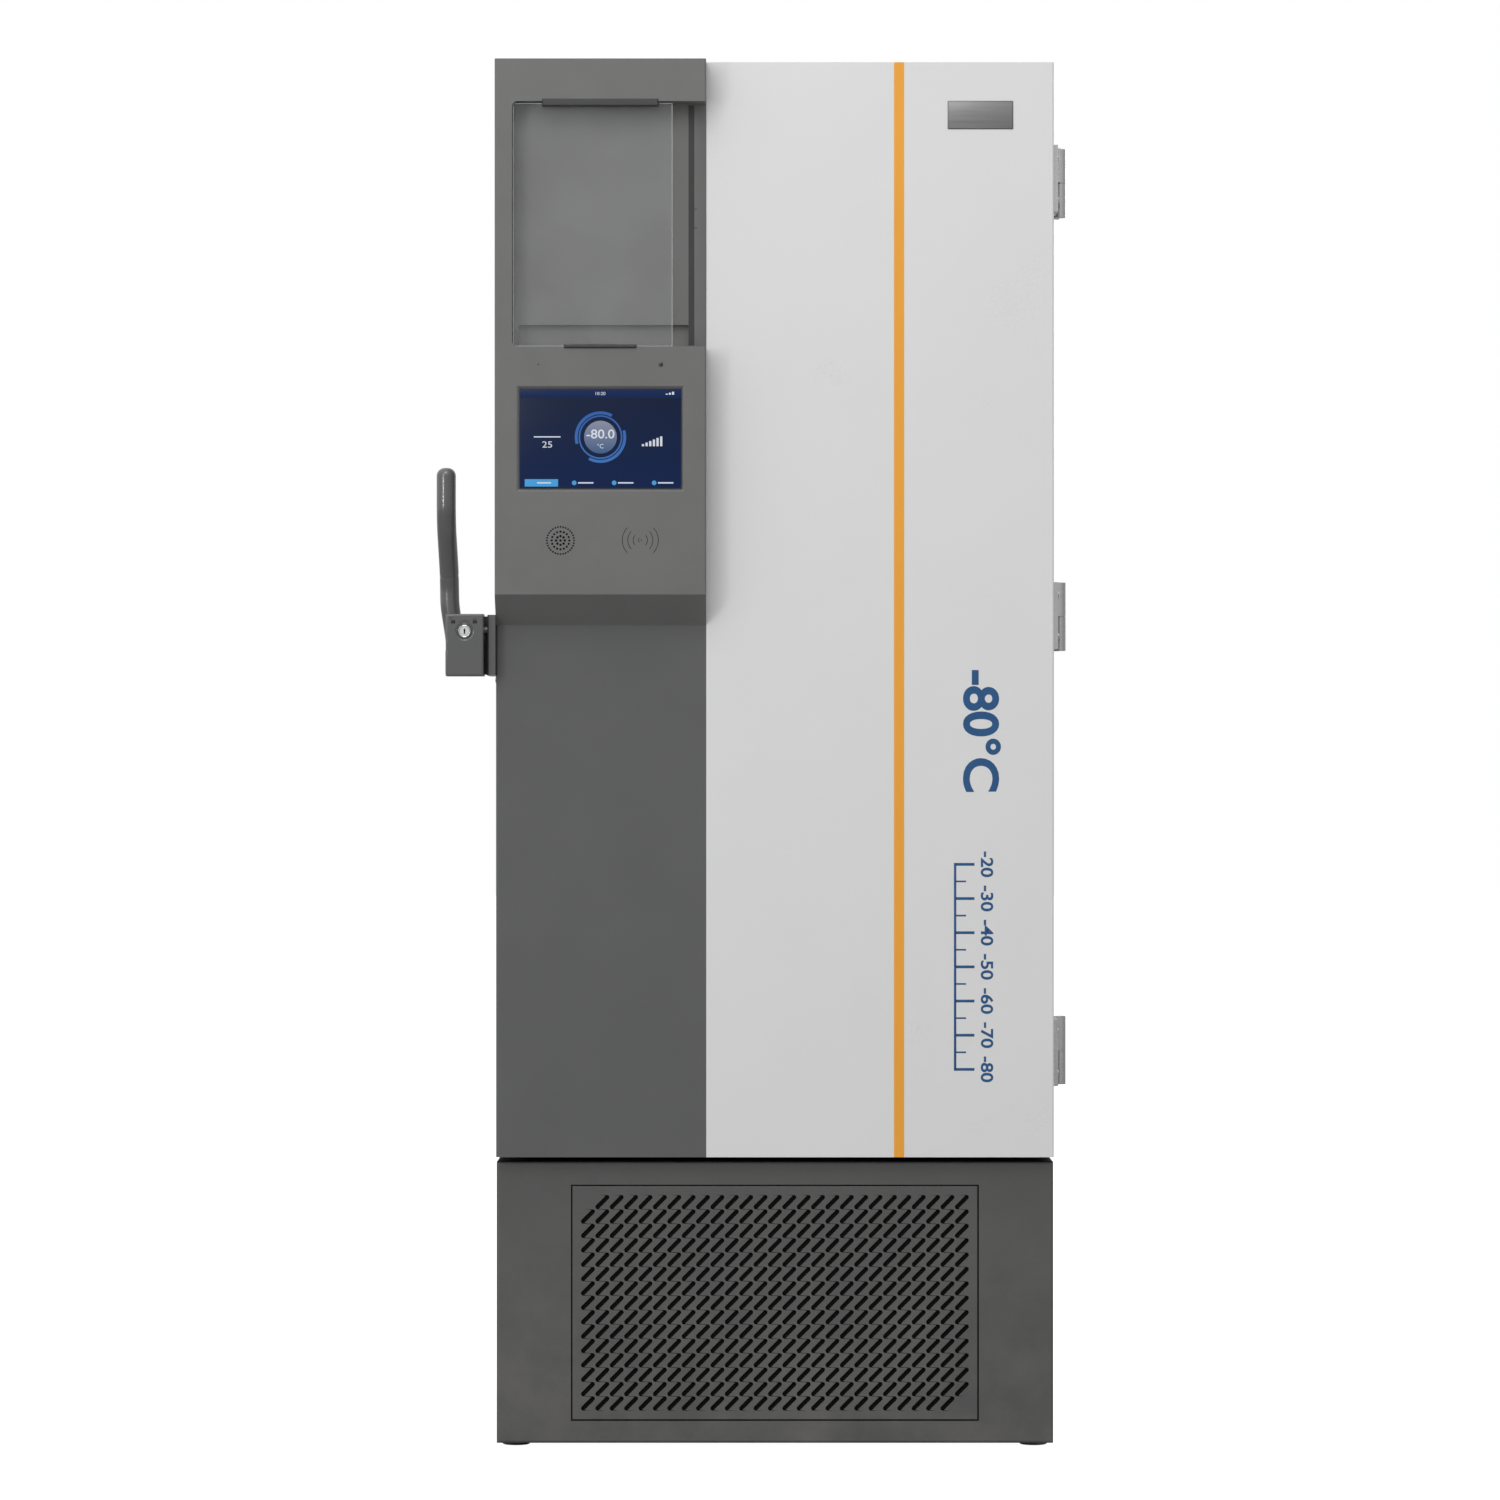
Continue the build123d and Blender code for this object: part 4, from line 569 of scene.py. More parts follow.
def brushed(name, colour, roughness, stretch, contrast=0.12):
    """Bare brushed metal: noise stretched along the brushing gives the lines in tone, roughness and bump."""
    material, tree, shader, place = surface(name)
    drawn_out = add(tree, "ShaderNodeMapping", {"Vector": place, "Scale": stretch}).outputs[0]
    skin = add(tree, "ShaderNodeGroup", {"Place": drawn_out}, node_tree=brushed_lines)
    tone = skin.outputs["Tone"]
    feed(shader, {
        "Base Color": uneven(tree, tone, colour, contrast),
        "Roughness": remap(tree, tone, 0.0, 1.0, roughness * 0.8, roughness * 1.25),
        "Normal": bumped(tree, skin.outputs["Height"], 0.00002, 0.6),
        "Metallic": 1.0,
    })
    return material


liner_steel = brushed("liner_steel", (0.56, 0.57, 0.57), 0.30, (2.0, 2.0, 60.0))
dress(["inner_liner", "shelf_lower", "shelf_middle", "shelf_upper", "shelf_standards"], liner_steel)
rim_plastic = coated("rim_plastic", (0.50, 0.51, 0.51), 0.6, grain=1000, unevenness=0.04, dust=0.1)
dress(["breaker_frame"], rim_plastic)
hinge_steel = brushed("hinge_steel", (0.60, 0.60, 0.61), 0.27, (30.0, 30.0, 2.0))
dress(["inner_hinge_brackets"], hinge_steel)

# Inner doors: two foamed leaves in white plastic, each with a moulded finger pull and a soft seal.
# They hang on pivot pins in the brackets and keep the cold in while the outer door is open.
door_plastic = coated(
    "door_plastic", (0.68, 0.69, 0.69), 0.38, swell=10, depth=0.00005, unevenness=0.03, dust=0.05
)
softened("inner_door_lower", "inner_leaf_lower", 0.0012, "inner_door_bottom", door_plastic)
softened("inner_door_upper", "inner_leaf_upper", 0.0012, "inner_door_top", door_plastic)

# Outer door's inside: the formed plastic liner, whose plug fills the mouth, and the magnetic gasket.
# The gasket is an extruded grey bellows, welded at its corners and pressed into the liner's groove.
dress(["door_liner"], door_plastic)
gasket_rubber = coated(
    "gasket_rubber", (0.13, 0.13, 0.135), 0.6, grain=1300, swell=30, depth=0.00005, unevenness=0.1,
    specular=0.35,
)


def carried_round(profile, half_x, half_z, centre_z):
    """A profile carried round a rectangle with mitred corners: each point's first number is its distance out
    from the rectangle, its second the depth y. The corners are reached along both directions at once."""
    profile = np.asarray(profile, float)
    corner = np.array([[1, 1], [-1, 1], [-1, -1], [1, -1]], float)
    points = np.empty((4, len(profile), 3))
    points[..., 0] = corner[:, 0, None] * (half_x + profile[None, :, 0])
    points[..., 1] = profile[None, :, 1]
    points[..., 2] = centre_z + corner[:, 1, None] * (half_z + profile[None, :, 0])
    return points, grid_faces(4, len(profile), close_u=True, close_v=True)


bulge = np.linspace(0, np.pi, 9)
gasket_profile = [(0.0, -0.3360), (0.0, -0.3338), (0.0046, -0.3326), (0.0030, -0.3318)]
gasket_profile += [(0.0150 - 0.0105 * np.cos(a), -0.3308 + 0.0045 * np.sin(a) ** 0.6) for a in bulge]
gasket_profile += [(0.0270, -0.3318), (0.0254, -0.3326), (0.0300, -0.3338), (0.0300, -0.3360)]
bellows = [carried_round(gasket_profile, 0.295, 0.689, 1.196)]
gasket = make_piece("bellows_gasket", bellows, "door", gasket_rubber, crease=50)
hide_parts("door_gasket")

# Door front: two panels on the door's shell. The right one is gloss white with an orange strip let in,
# the lower left one charcoal. Both are powder-coated steel with a turned edge.
white_coat = coated(
    "white_coat", (0.77, 0.77, 0.77), 0.30, grain=600, swell=7, depth=0.00003, unevenness=0.012, dust=0.04,
    coat=0.3,
)
dress(["front_panel_white"], white_coat)
charcoal_coat = coated(
    "charcoal_coat", (0.110, 0.112, 0.111), 0.5, grain=1000, swell=10, depth=0.00007, unevenness=0.05,
    dust=0.05, specular=0.4,
)
dress(["front_panel_dark"], charcoal_coat)
stripe_orange = coated(
    "stripe_orange", (0.90, 0.385, 0.030), 0.35, grain=800, depth=0.00002, unevenness=0.03, coat=0.2
)
dress(["accent_stripe"], stripe_orange)

# Badge: a bare plate of brushed aluminium in a thin darker frame.
# It is cut from sheet and stuck on the white panel.
badge_frame = coated(
    "badge_frame", (0.16, 0.16, 0.165), 0.35, grain=1500, swell=60, depth=0.00002, unevenness=0.1,
    metallic=1.0,
)
badge_face = brushed("badge_face", (0.29, 0.29, 0.295), 0.34, (2.0, 30.0, 60.0), contrast=0.10)
x, z, half_w, half_h = 294.5 * MM, 1914.3 * MM, 93.9 * MM / 2, 40.5 * MM / 2
plate = soft_box((x - half_w, -0.4370, z - half_h), (x + half_w, -0.4360, z + half_h), 0.00045, 2)
badge = make_piece("badge_surround", plate, "door", badge_frame)
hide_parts("badge_plate")
half_w, half_h = half_w - 0.0012, half_h - 0.0012
plate = soft_box((x - half_w, -0.4372, z - half_h), (x + half_w, -0.4364, z + half_h), 0.0003, 2)
make_piece("badge_face", plate, "door", badge_face)

# Lettering: a plain temperature and a graduated scale, silk-screened in blue on the white panel.
# Both read from top to bottom. The ink is a thin layer with a slight gloss.
ink = coated("blue_ink", (0.010, 0.085, 0.235), 0.4, grain=1200, swell=30, depth=0.00001, unevenness=0.10)


def text_piece(name, words, box, y, depth, material, turned_down=False, bold=0.0):
    """Flat type on the door, fitted to a box (x low, x high, z low, z high) on the plane y and depth thick
    towards the user. Turned down, the line runs from top to bottom with the letters' feet to the left."""
    curve = bpy.data.curves.new(name, "FONT")
    curve.body = words
    curve.extrude = 0.1
    curve.offset = bold
    curve.resolution_u = 6
    carrier = placed(name, curve)
    shown = carrier.evaluated_get(bpy.context.evaluated_depsgraph_get())
    mesh = bpy.data.meshes.new_from_object(shown)
    bpy.data.objects.remove(carrier)
    flat = np.empty(len(mesh.vertices) * 3)
    mesh.vertices.foreach_get("co", flat)
    flat = flat.reshape(-1, 3)
    share = (flat - flat.min(0)) / np.maximum(flat.max(0) - flat.min(0), 1e-9)
    x_low, x_high, z_low, z_high = box
    points = np.empty_like(flat)
    along, up = share[:, 0], share[:, 1]
    if turned_down:
        along, up = up, 1 - along
    points[:, 0] = x_low + along * (x_high - x_low)
    points[:, 2] = z_low + up * (z_high - z_low)
    points[:, 1] = y - share[:, 2] * depth
    faces = [list(polygon.vertices) for polygon in mesh.polygons]
    return make_piece(name, [(points, faces)], "door", material, crease=20)


def flat_bars(rectangles, y, depth):
    """Thin plates on the plane y, one for each (x low, x high, z low, z high)."""
    parts = []
    for x_low, x_high, z_low, z_high in rectangles:
        parts += soft_box((x_low, y - depth, z_low), (x_high, y, z_high), depth * 0.4, 1)
    return parts


panel_face, ink_depth = -0.4360, 0.00015
box = (0.2695, 0.3240, 0.9437, 1.1186)
text_piece("temperature_print", "-80°C", box, panel_face, ink_depth, ink, True, 0.025)
scale_foot, tick_step = 0.5460, 0.0245
scale_bars = [(0.2565, 0.2600, 0.5440, 0.8420)]
for tick in range(13):
    z = scale_foot + tick * tick_step
    reach, half = (0.2740, 0.0012) if tick % 2 else (0.2860, 0.0020)
    scale_bars.append((0.2590, reach, z - half, z + half))
make_piece("scale_print", flat_bars(scale_bars, panel_face, ink_depth), "door", ink)
for tick, value in enumerate(range(-20, -90, -10)):
    z = scale_foot + (6 - tick) * 2 * tick_step
    box = (0.2950, 0.3130, z - 0.0185, z + 0.0185)
    number = "scale_number_%d" % tick
    text_piece(number, str(value), box, panel_face, ink_depth, ink, True, 0.02)

# Control module: one deep ABS moulding with a fine spark-eroded texture, on the upper left of the door.
# The loudspeaker's and microphone's holes are drilled in its face, and the reader's wave marks printed on it.
module_plastic = coated(
    "module_plastic", (0.155, 0.155, 0.153), 0.52, grain=1050, swell=16, depth=0.00010, specular=0.45
)
housing = softened("control_housing", "module_housing", 0.0010, "door", module_plastic)
cutters, hole_cloth, holes = [], [], []
drill_y = -0.4820
for ring_radius, count, hole in ((0, 1, 1.8), (6.2, 8, 1.8), (12.6, 16, 1.6), (19.4, 32, 1.3)):
    for turn in np.linspace(0, 2 * np.pi, count, endpoint=False):
        x, z = (-306.0 + ring_radius * np.cos(turn)) * MM, (1302.6 + ring_radius * np.sin(turn)) * MM
        holes.append((x, z, hole * MM, 0.0016))
holes.append((-0.3377, 1.5538, 0.0010, 0.0015))
for x, z, hole, cloth_start in holes:
    centre = (x, drill_y, z)
    cloth = hole - 0.00003
    cutters.append(turned([(0.0, hole), (0.0055, hole)], centre, (0, 1, 0), 12))
    hole_cloth.append(turned([(cloth_start, cloth), (0.0053, cloth)], centre, (0, 1, 0), 12))
drill = make_piece("module_drill", cutters, "door", module_plastic)
cut = housing.modifiers.new("drilled", "BOOLEAN")
cut.operation = "DIFFERENCE"
cut.solver = "EXACT"
cut.object = drill
bake_modifiers(housing, "module_housing", 30.0)
bpy.data.objects.remove(drill)
# One near-black serves the cloth behind the holes, the printed wave marks, and the painted shade of the key
# slot.
black_cloth_print_and_shade = coated(
    "speaker_cloth", (0.006, 0.006, 0.006), 0.9, grain=2500, swell=200, depth=0.0001, unevenness=0.3,
    specular=0.1,
)
make_piece("speaker_cloth", hole_cloth, "door", black_cloth_print_and_shade)


def screen_arc(radius, width, start, end, y, centre=(-0.2490, 1.4500), steps=48):
    """A flat ring sector on the plane y: two arcs of even steps between two bearings in degrees, with quads
    between them."""
    bearing = np.radians(np.linspace(start, end, steps + 1))
    points = np.empty((2, steps + 1, 3))
    for index, reach in enumerate((radius, radius + width)):
        points[index, :, 0] = centre[0] + reach * np.cos(bearing)
        points[index, :, 1] = y
        points[index, :, 2] = centre[1] + reach * np.sin(bearing)
    return points, grid_faces(2, steps + 1)


print_y, reader = -0.48104, (-0.1922, 1.3030)
waves = []
for radius in (9.8, 17.5, 25.3):
    for middle in (0, 180):
        waves.append(screen_arc(radius * MM, 0.0008, middle - 44, middle + 44, print_y, reader))
waves.append(screen_arc(0.0025, 0.0006, 100, 260, print_y, reader, 20))
waves.append(screen_arc(0.0, 0.0008, 0, 360, print_y, (-0.1908, 1.3030), 16))
make_piece("reader_waves", waves, "door", black_cloth_print_and_shade)

# Sensor lens: a small gloss dome in a turned bezel.
lens_gloss = coated(
    "lens_gloss", (0.008, 0.008, 0.009), 0.08, grain=400, swell=20, depth=0.0, unevenness=0.1, coat=1.0
)
dress(["camera_lens"], lens_gloss)
lens_centre = (-0.1627, -0.4810, 1.5538)
bezel = [
    (0.0, 0.0033), (-0.0003, 0.0036), (-0.0003, 0.0042), (0.0, 0.0046), (0.0004, 0.0046), (0.0004, 0.0033)
]
bezel_parts = [turned(bezel, lens_centre, (0, 1, 0), 32, True)]
make_piece("lens_bezel", bezel_parts, "door", module_plastic)
dome = [(-0.0006 * np.cos(a), 0.0032 * np.sin(a) + 0.00001) for a in np.linspace(0, np.pi / 2, 6)]
make_piece("lens_dome", [turned(dome, lens_centre, (0, 1, 0), 32)], "door", lens_gloss)

# Document niche: a clear acrylic plate held by two snapped-in bars, over the recess for papers.
# The plate's cut edges are polished; a small gusset in the recess keeps the papers off the front.


def clear_plastic(name, thin, thick):
    """Clear acrylic: it lets nearly all light by, and handling marks make it less clear in patches."""
    material, tree, shader, place = surface(name)
    feed(shader, {
        "Base Color": (0.62, 0.64, 0.64, 1.0),
        "Roughness": 0.06,
        "Alpha": remap(tree, noise(tree, place, 7.0, 5.0), 0.35, 0.75, thin, thick),
    })
    return material


acrylic = clear_plastic("clear_acrylic", 0.05, 0.10)
# The edge band is much less clear than the plate: a painted highlight along the cut edges.
acrylic_edge_highlight = clear_plastic("acrylic_edge_highlight", 0.35, 0.45)
cover_x = -0.26015
edge_profile = [(0.0, -0.4779), (0.0, -0.4751), (-0.0010, -0.4751), (-0.0010, -0.4779)]
plate_edge = carried_round(edge_profile, 0.11380, 0.17345, 1.7531)
plate_edge[0][..., 0] += cover_x
make_piece("acrylic_edge_highlight", [plate_edge], "door", acrylic_edge_highlight)
plate = soft_box((-0.3740, -0.4780, 1.5796), (-0.1463, -0.4750, 1.9266), 0.0006, 2)
cover = make_piece("acrylic_plate", plate, "door", acrylic)
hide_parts("document_cover")
# The snap bars' near-black, darker than the module's moulding, is partly their own colour and partly painted
# shade on and under them.
clip_plastic_and_shade = coated(
    "clip_plastic_and_shade", (0.045, 0.045, 0.045), 0.45, grain=1200, swell=20, depth=0.00005, unevenness=0.08
)
softened("cover_clips", "snap_bars", 0.0005, "door", clip_plastic_and_shade)
# A thin matt strip lies on the recess's slanted right side, with a small raised outline on it.
# The strip's dark colour is partly its own and partly painted shade on the slant.
slant_strip_and_shade = coated(
    "side_strip", (0.072, 0.072, 0.072), 0.8, grain=1500, swell=30, depth=0.0001, unevenness=0.08,
    specular=0.2,
)


def on_slant(x_low, x_high, z_low, z_high, lift):
    """A plate on the slanted side: its depth follows the line from the recess wall to the door's face."""
    points = np.empty((2, 2, 2, 3))
    points[..., 0] = np.array([x_low, x_high])[:, None, None]
    points[..., 2] = np.array([z_low, z_high])[None, :, None]
    slant_start, slant_run, wall_y, slant_rise = -0.1240, 0.0255, -0.4490, 0.0130
    share = (points[..., 0] - slant_start) / slant_run
    points[..., 1] = wall_y + slant_rise * share - np.array([0.0, lift])[None, None, :]
    quads = [[0, 1, 3, 2], [4, 5, 7, 6], [0, 1, 5, 4], [2, 3, 7, 6], [0, 2, 6, 4], [1, 3, 7, 5]]
    return points, quads


strip_parts = [on_slant(-0.1238, -0.0990, 1.5830, 1.9270, 0.0004)]
make_piece("side_strip", strip_parts, "door", slant_strip_and_shade)
mark_bars = [(-0.1190, -0.1180, 1.7510, 1.7790), (-0.1040, -0.1030, 1.7510, 1.7790)]
mark_bars += [(-0.1190, -0.1030, 1.7510, 1.7520), (-0.1190, -0.1030, 1.7780, 1.7790)]
mark = [on_slant(*bar, 0.0006) for bar in mark_bars]
make_piece("side_strip_mark", mark, "door", clip_plastic_and_shade)
gusset = np.array([[-0.2830, 1.5800], [-0.2620, 1.5800], [-0.2830, 1.5960]])
wedge = np.empty((2, 3, 3))
wedge[..., 0], wedge[..., 2] = gusset[:, 0], gusset[:, 1]
wedge[..., 1] = np.array([-0.4410, -0.4650])[:, None]
wedge_faces = grid_faces(2, 3, close_v=True).tolist() + end_faces(2, 3)
make_piece("paper_gusset", [(wedge, wedge_faces)], "door", module_plastic)

# Touch screen: a glass-fronted display in the module's window. Its picture is a plain generic one:
# a round dial with the temperature, bars, and a row of four tabs, all in blue on a dark ground.
screen_glass = coated(
    "screen_glass", (0.006, 0.008, 0.014), 0.06, grain=300, swell=8, depth=0.0, unevenness=0.1, coat=1.0
)
dress(["touch_screen"], screen_glass)


def lit(name, low, high, strength, start=1.3766, end=1.5192):
    """A lit area of the display: its colour runs from low to high between two heights."""
    material, tree, shader, place = surface(name)
    height = add(tree, "ShaderNodeSeparateXYZ", {0: place}).outputs["Z"]
    feed(shader, {
        "Emission Color": mixed(tree, remap(tree, height, start, end), low + (1.0,), high + (1.0,)),
        "Emission Strength": strength,
        "Base Color": (0.004, 0.004, 0.005, 1),
        "Roughness": 0.3,
        "Specular IOR Level": 0.12,
    })
    return material


ground = lit("display_ground", (0.0050, 0.0170, 0.0720), (0.0015, 0.0090, 0.0360), 0.9)
strip = lit("display_strip", (0.0060, 0.0200, 0.0850), (0.0060, 0.0200, 0.0850), 0.9)
pale = lit("display_pale", (0.66, 0.70, 0.80), (0.74, 0.78, 0.86), 0.9)
tab_blue = lit("display_tab", (0.065, 0.33, 0.68), (0.075, 0.36, 0.72), 0.95)
ring_blue = lit("display_ring", (0.050, 0.170, 0.480), (0.035, 0.120, 0.400), 0.9, start=1.412, end=1.488)
globe_blue = lit("display_globe", (0.060, 0.130, 0.280), (0.300, 0.320, 0.420), 0.8, start=1.427, end=1.473)
x_low, x_high, z_low, z_high = -0.3640, -0.1341, 1.3773, 1.5185
ground_y, strip_y, marks_y, type_y = -0.4800, -0.4801, -0.4803, -0.48035
whole = flat_bars([(x_low, x_high, z_low, z_high)], ground_y, 0.0001)
make_piece("display_ground", whole, "door", ground)
head = flat_bars([(x_low, x_high, 1.5060, z_high)], strip_y, 0.0001)
make_piece("display_strip", head, "door", strip)
ring_parts = [screen_arc(0.0290, 0.0022, 0, 360, marks_y)]
ring_parts += [screen_arc(0.0325, 0.0042, start, end, marks_y) for start, end in ((62, 196), (242, 376))]
make_piece("display_ring", ring_parts, "door", ring_blue)
globe = [screen_arc(0.0002, 0.0232, 0, 360, marks_y)]
make_piece("display_globe", globe, "door", globe_blue)
for name, words, box, bold in (
    ("display_value", "-80.0", (-0.2690, -0.2290, 1.4480, 1.4610), 0.01),
    ("display_unit", "°C", (-0.2535, -0.2445, 1.4340, 1.4405), 0.0),
    ("display_left", "25", (-0.3320, -0.3180, 1.4350, 1.4440), 0.0),
    ("display_clock", "10:20", (-0.2560, -0.2420, 1.5100, 1.5145), 0.0),
):
    text_piece(name, words, box, type_y, 0.0001, pale, bold=bold)
bars = [(-0.3440, -0.3060, 1.4495, 1.4512)]
bars += [(-0.1900 + 0.0052 * i, -0.1868 + 0.0052 * i, 1.4370, 1.4370 + 0.0030 + 0.0022 * i) for i in range(6)]
bars += [(-0.1560 + 0.0045 * i, -0.1530 + 0.0045 * i, 1.5105, 1.5105 + 0.0014 * (i + 1)) for i in range(3)]
icons = []
for tab in (1, 2, 3):
    tab_x = -0.3520 + 0.0570 * tab
    bars.append((tab_x + 0.0140, tab_x + 0.0360, 1.3838, 1.3858))
    icons.append(screen_arc(0.0003, 0.0030, 0, 360, marks_y, (tab_x + 0.0085, 1.3848), 20))
bars.append((-0.3395, -0.3195, 1.3838, 1.3858))
make_piece("display_bars", flat_bars(bars, marks_y, 0.00005), "door", pale)
first_tab = flat_bars([(-0.3570, -0.3095, 1.3795, 1.3900)], strip_y, 0.0001)
make_piece("display_tab", first_tab, "door", tab_blue)
make_piece("display_icons", icons, "door", tab_blue)

# Handle: a bent steel tube, pressed into a cast lock block and painted with it in a dark gloss.
# The block turns on the mount's pin; the tube stands behind it, then leans forward into the grip.
handle_paint = coated("handle_paint", (0.080, 0.082, 0.081), 0.30, swell=18, depth=0.00001, coat=1.0)
dress(["handle_mount"], handle_paint)
softened("handle_block", "lock_block", 0.0008, "handle", handle_paint)


def swept(path, radius, sides):
    """A round tube along a path: at each point a circle of that point's radius stands square to the path,
    measured from one fixed sideways direction so that it never twists."""
    along = np.gradient(path, axis=0)
    along /= np.linalg.norm(along, axis=1, keepdims=True)
    sideways = np.cross(np.cross(along, np.array([1.0, 0.0, 0.0])), along)
    sideways /= np.linalg.norm(sideways, axis=1, keepdims=True)
    upright = np.cross(along, sideways)
    turn = np.linspace(0, 2 * np.pi, sides, endpoint=False)
    circle = np.cos(turn)[None, :, None] * sideways[:, None] + np.sin(turn)[None, :, None] * upright[:, None]
    points = path[:, None] + radius[:, None, None] * circle
    faces = grid_faces(len(path), sides, close_v=True).tolist()
    return points, faces + end_faces(len(path), sides)


# The tube's line: straight runs joined by smooth bends, worked out as a blend of its corner points.
corner_z = np.array([1147.0, 1160.8, 1212.0, 1240.0, 1262.0, 1320.0, 1344.0, 1395.6]) * MM
corner_x = np.array([-459.5, -459.5, -467.6, -468.0, -468.2, -470.1, -470.3, -470.3]) * MM
corner_y = np.array([-409.95, -409.95, -409.95, -409.95, -416.0, -447.5, -453.95, -453.95]) * MM
samples, smoothing, tip_steps = 161, 25, 8
pad, tube_r = smoothing // 2, 0.01375
corners = np.stack([corner_x, corner_y, corner_z], 1)
knots = np.concatenate([[0], np.cumsum(np.linalg.norm(np.diff(corners, axis=0), axis=1))])
knots /= knots[-1]
line_xyz = np.stack([np.interp(np.linspace(0, 1, samples), knots, corners[:, i]) for i in range(3)], 1)
window = np.hanning(smoothing)
window /= window.sum()
padded_line = np.concatenate([np.repeat(line_xyz[:1], pad, 0), line_xyz, np.repeat(line_xyz[-1:], pad, 0)])
smooth_line = np.stack([np.convolve(padded_line[:, i], window, "valid") for i in range(3)], 1)
smooth_line[0], smooth_line[-1] = line_xyz[0], line_xyz[-1]
tip_turn = np.linspace(0, np.pi / 2, tip_steps + 1)[1:]
tip = np.repeat(smooth_line[-1:], tip_steps, 0)
tip[:, 2] += 0.0119 * np.sin(tip_turn)
tube_line = np.concatenate([smooth_line, tip])
tube_radius = np.concatenate([np.full(samples, tube_r), tube_r * np.cos(tip_turn) ** 0.8 + 0.00005])
# A shallow crease runs round the tube where its bend starts.
crease_at = np.exp(-(((smooth_line[:, 2] - 1.2545) / 0.0016) ** 2))
tube_radius[:samples] -= 0.0005 * crease_at
tube = [swept(tube_line, tube_radius, 48)]
grip = make_piece("grip_tube", tube, "handle", handle_paint, crease=60)
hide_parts("handle_grip")

# A black plate fills the slot between block and mount, behind the pivot pin: painted shade, so the slot reads
# dark.
slot_shade_plate = soft_box((-0.4159, -0.4340, 1.1120), (-0.4118, -0.3480, 1.1955), 0.0004, 1)
make_piece("pivot_slot_shade", slot_shade_plate, "door", black_plastic)

# Lock: a chromed cylinder with its key slot in a bright ring, and two plain padlock marks over an arc.
chrome = brushed("chrome", (0.80, 0.80, 0.81), 0.10, (8.0, 8.0, 8.0), contrast=0.04)
dress(["lock_cylinder"], chrome)
ring_centre = (-0.4434, -0.4708, 1.1734)
lock_ring = [
    (0.0, 0.0072), (-0.0006, 0.0074), (-0.0009, 0.0080), (-0.0006, 0.0086), (0.0, 0.0088), (0.0012, 0.0088),
    (0.0012, 0.0072),
]
make_piece("lock_ring", [turned(lock_ring, ring_centre, (0, 1, 0), 48, True)], "handle", chrome)
lock_low, lock_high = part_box("lock_cylinder")
lock_x, lock_z, lock_y = (lock_low[0] + lock_high[0]) / 2, (lock_low[2] + lock_high[2]) / 2, lock_low[1]
# The key slot is not cut: a thin black plate, just proud of the cylinder's face, is painted shade for it.
key_slot_shade = []
for half, foot, top in ((0.0007, -0.0036, 0.0036), (0.0014, 0.0008, 0.0022)):
    low = (lock_x - half, lock_y - 0.00012, lock_z + foot)
    high = (lock_x + half, lock_y + 0.0006, lock_z + top)
    key_slot_shade += soft_box(low, high, 0.0002, 1)
make_piece("key_slot_shade", key_slot_shade, "lock", black_cloth_print_and_shade)
mark_ink = coated("mark_ink", (0.012, 0.012, 0.012), 0.6, swell=20, depth=0.0, unevenness=0.1)
marks = flat_bars([(-0.4625, -0.4565, 1.1845, 1.1893), (-0.4316, -0.4256, 1.1845, 1.1893)], -0.4720, 0.0001)
marks_y = -0.47205
marks.append(screen_arc(0.0018, 0.0007, 0, 180, marks_y, (-0.4286, 1.1893), 14))
marks.append(screen_arc(0.0018, 0.0007, 30, 210, marks_y, (-0.4615, 1.1905), 14))
marks.append(screen_arc(0.0150, 0.0006, 62, 118, marks_y, (-0.4434, 1.1734), 16))
make_piece("lock_marks", marks, "handle", mark_ink)

# Keeper: a plate with the striker pin, where the handle's nose comes down.
# It is brushed steel, fixed to the cabinet's side by four screws.
dress(["latch_keeper"], hinge_steel)
keeper_screws = [
    turned(screw_profile, (-0.4040, y, z), (-1, 0, 0), 16) for y in (-0.318, -0.278) for z in (1.106, 1.160)
]
make_piece("keeper_screws", keeper_screws, "cabinet", steel_fixings)

# Door hinges: three lift-off hinges in bright brushed steel, screwed to the right side of door and box.
# The door's knuckle sits on the cabinet's, and two thin bright washers go round each pair.
softened("door_hinge_leaves", "hinge_leaves_door", 0.0009, "door", hinge_steel)
softened("cabinet_hinge_leaves", "hinge_leaves_cabinet", 0.0009, "cabinet", hinge_steel)
door_screws, cabinet_screws, washers = [], [], []
leaf_face = 0.4065
washer = [(0, 0.0078), (0.0001, 0.00804), (0.0007, 0.00804), (0.0008, 0.0078)]
for z in (0.569, 1.197, 1.825):
    for dz in (-0.030, 0.030):
        for dy in (0.016, 0.052):
            door_screws.append(turned(screw_profile, (leaf_face, -0.3543 - dy, z + dz), (1, 0, 0), 16))
            cabinet_screws.append(turned(screw_profile, (leaf_face, -0.3130 + dy, z + dz), (1, 0, 0), 16))
    for base in (z + 0.0355, z + 0.0488):
        washers.append(turned(washer, (0.4137, -0.346, base), (0, 0, 1), 32))
make_piece("hinge_screws_door", door_screws, "door", steel_fixings)
make_piece("hinge_screws_cabinet", cabinet_screws, "cabinet", steel_fixings)
make_piece("hinge_rings", washers, "door", chrome)

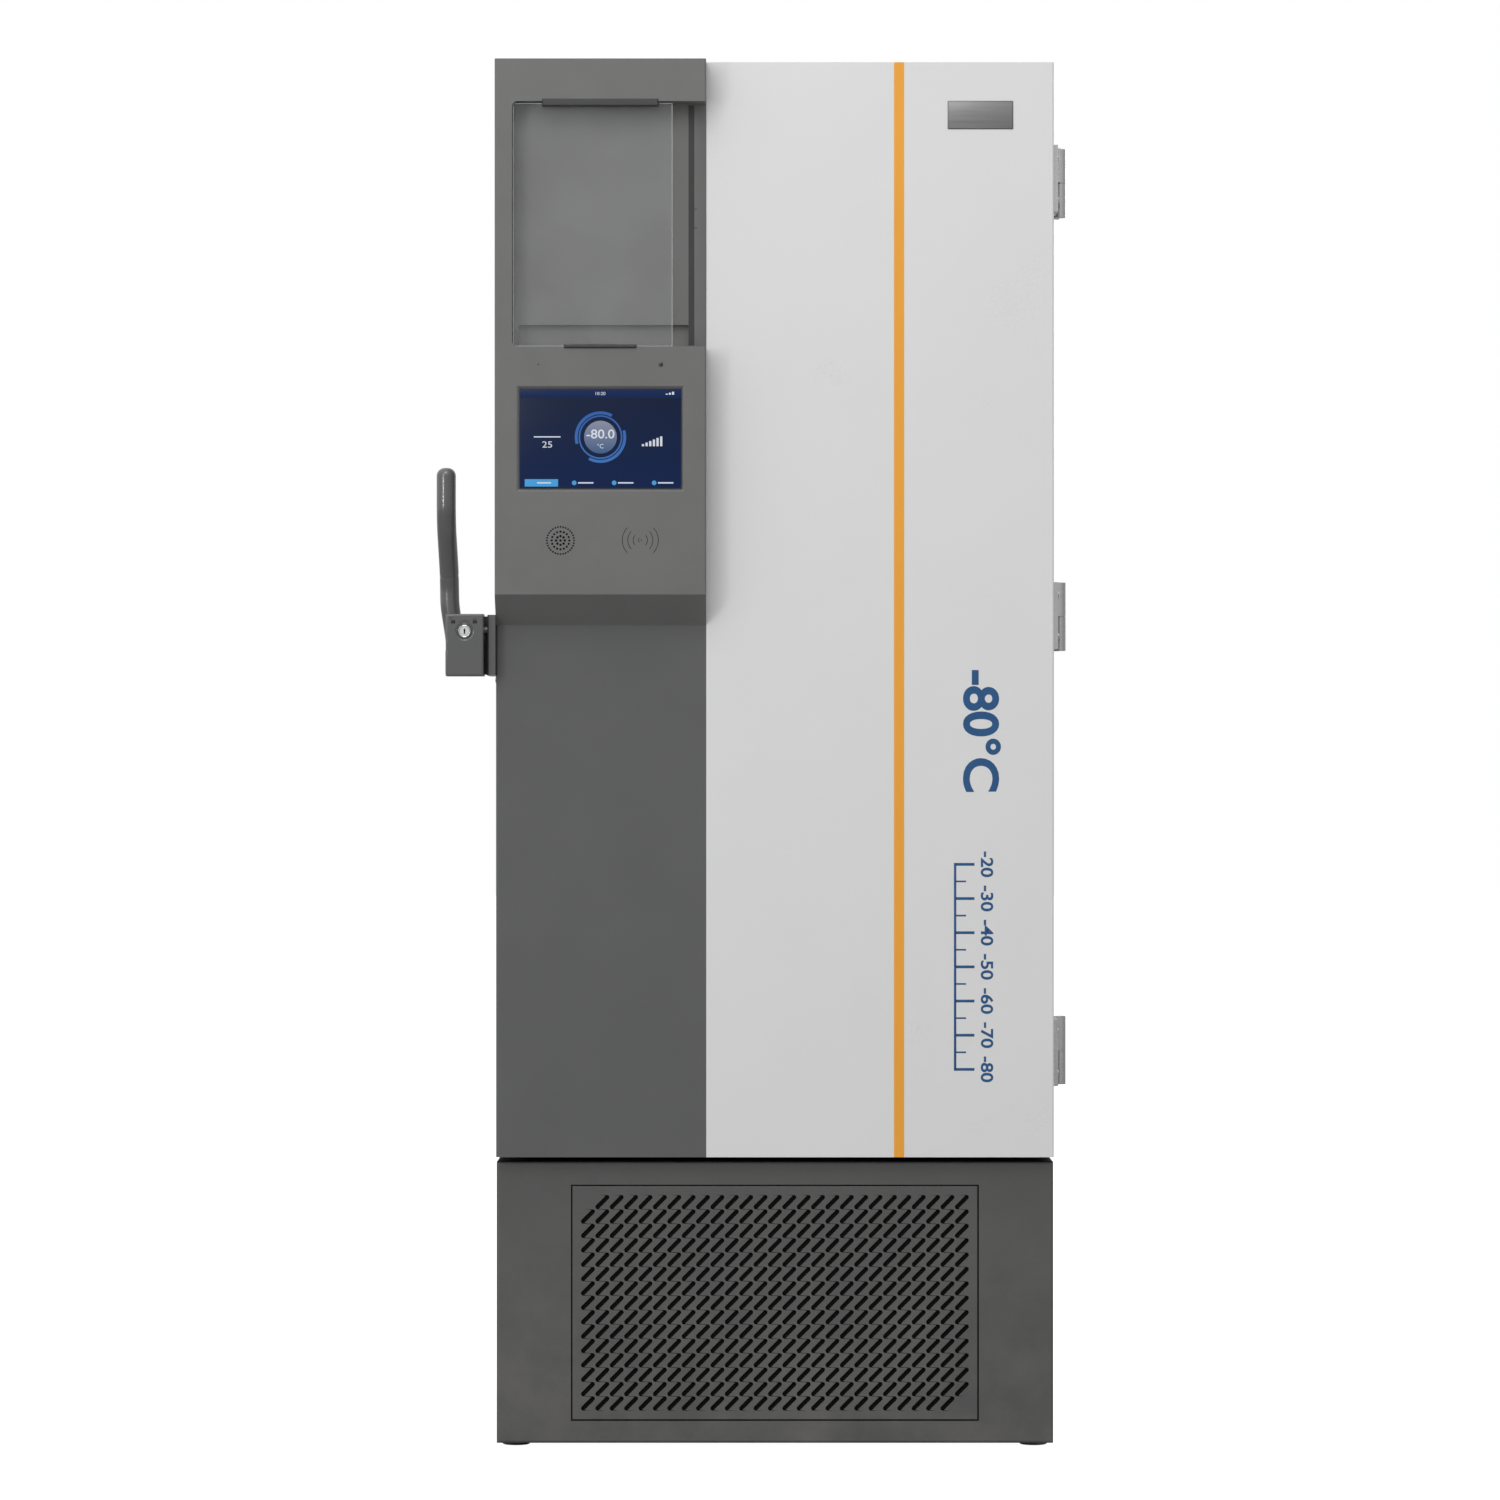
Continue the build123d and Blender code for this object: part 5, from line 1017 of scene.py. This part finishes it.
# Studio: a pale floor and a white surround, with a soft key from the left front, a light from above, a
# small one on the left and a large fill behind.
floor_mesh = bpy.data.meshes.new("studio_floor")
floor_mesh.from_pydata([(-30, -30, 0), (30, -30, 0), (30, 30, 0), (-30, 30, 0)], [], [(0, 1, 2, 3)])
floor = placed("studio_floor", floor_mesh)
floor_paint, tree, shader = surface("studio_floor")[:3]
feed(shader, {
    "Base Color": (0.36, 0.36, 0.36, 1),
    "Roughness": 0.9,
    "Emission Color": (1, 1, 1, 1),
    "Emission Strength": add(tree, "ShaderNodeLightPath").outputs["Is Camera Ray"],
})
floor_mesh.materials.append(floor_paint)
floor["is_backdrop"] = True

# The camera sees floor and surround as white. What they throw on the freezer is weaker, and it comes most
# from above and the left front.
world = bpy.data.worlds.new("studio")
bpy.context.scene.world = world
world.use_nodes = True
tree = world.node_tree
seen = add(tree, "ShaderNodeLightPath").outputs["Is Camera Ray"]
bearing_now = add(tree, "ShaderNodeTexCoord").outputs["Generated"]
lean = add(tree, "ShaderNodeVectorMath", {0: bearing_now, 1: (-0.35, -0.20, 0.60)}, operation="DOT_PRODUCT")
dome = remap(tree, lean.outputs["Value"], -0.2, 0.7, 0.42, 1.02)
level = add(tree, "ShaderNodeMix", {0: seen, 2: dome, 3: 1.0}).outputs[0]
feed(tree.nodes["Background"], {"Color": (1, 1, 1, 1), "Strength": level})


def soft_light(name, place, target, size, power):
    """A square soft box at a place, turned towards a target."""
    lamp = bpy.data.lights.new(name, "AREA")
    lamp.size = size
    lamp.energy = power
    holder = placed(name, lamp)
    away = np.asarray(place, float) - np.asarray(target, float)
    away /= np.linalg.norm(away)
    holder.location = place
    holder.rotation_euler = (np.arccos(away[2]), 0.0, np.arctan2(away[1], away[0]) + np.pi / 2)


soft_light("key", (-3.3, -5.6, 3.3), (0.0, -0.43, 1.2), 1.4, 30)
soft_light("top_front", (-0.6, -2.6, 3.7), (0.0, -0.43, 1.5), 1.6, 26)
soft_light("left_strip", (-2.4, -3.4, 1.5), (-0.47, -0.44, 1.3), 0.35, 9)
soft_light("back_fill", (2.6, 4.8, 2.8), (0.0, 0.2, 1.0), 2.4, 60)

eye = bpy.data.cameras.new("photo_view")
eye.lens = 36.0 * 8000.0 / 2150.6
eye.clip_end = 100
camera = placed("photo_view", eye)
camera.location = (-0.0358, -8.436, 1.0039)
camera.rotation_euler = (np.pi / 2, 0.0, 0.0)
bpy.context.scene.camera = camera
bpy.context.scene.view_settings.view_transform = "Standard"

low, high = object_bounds()
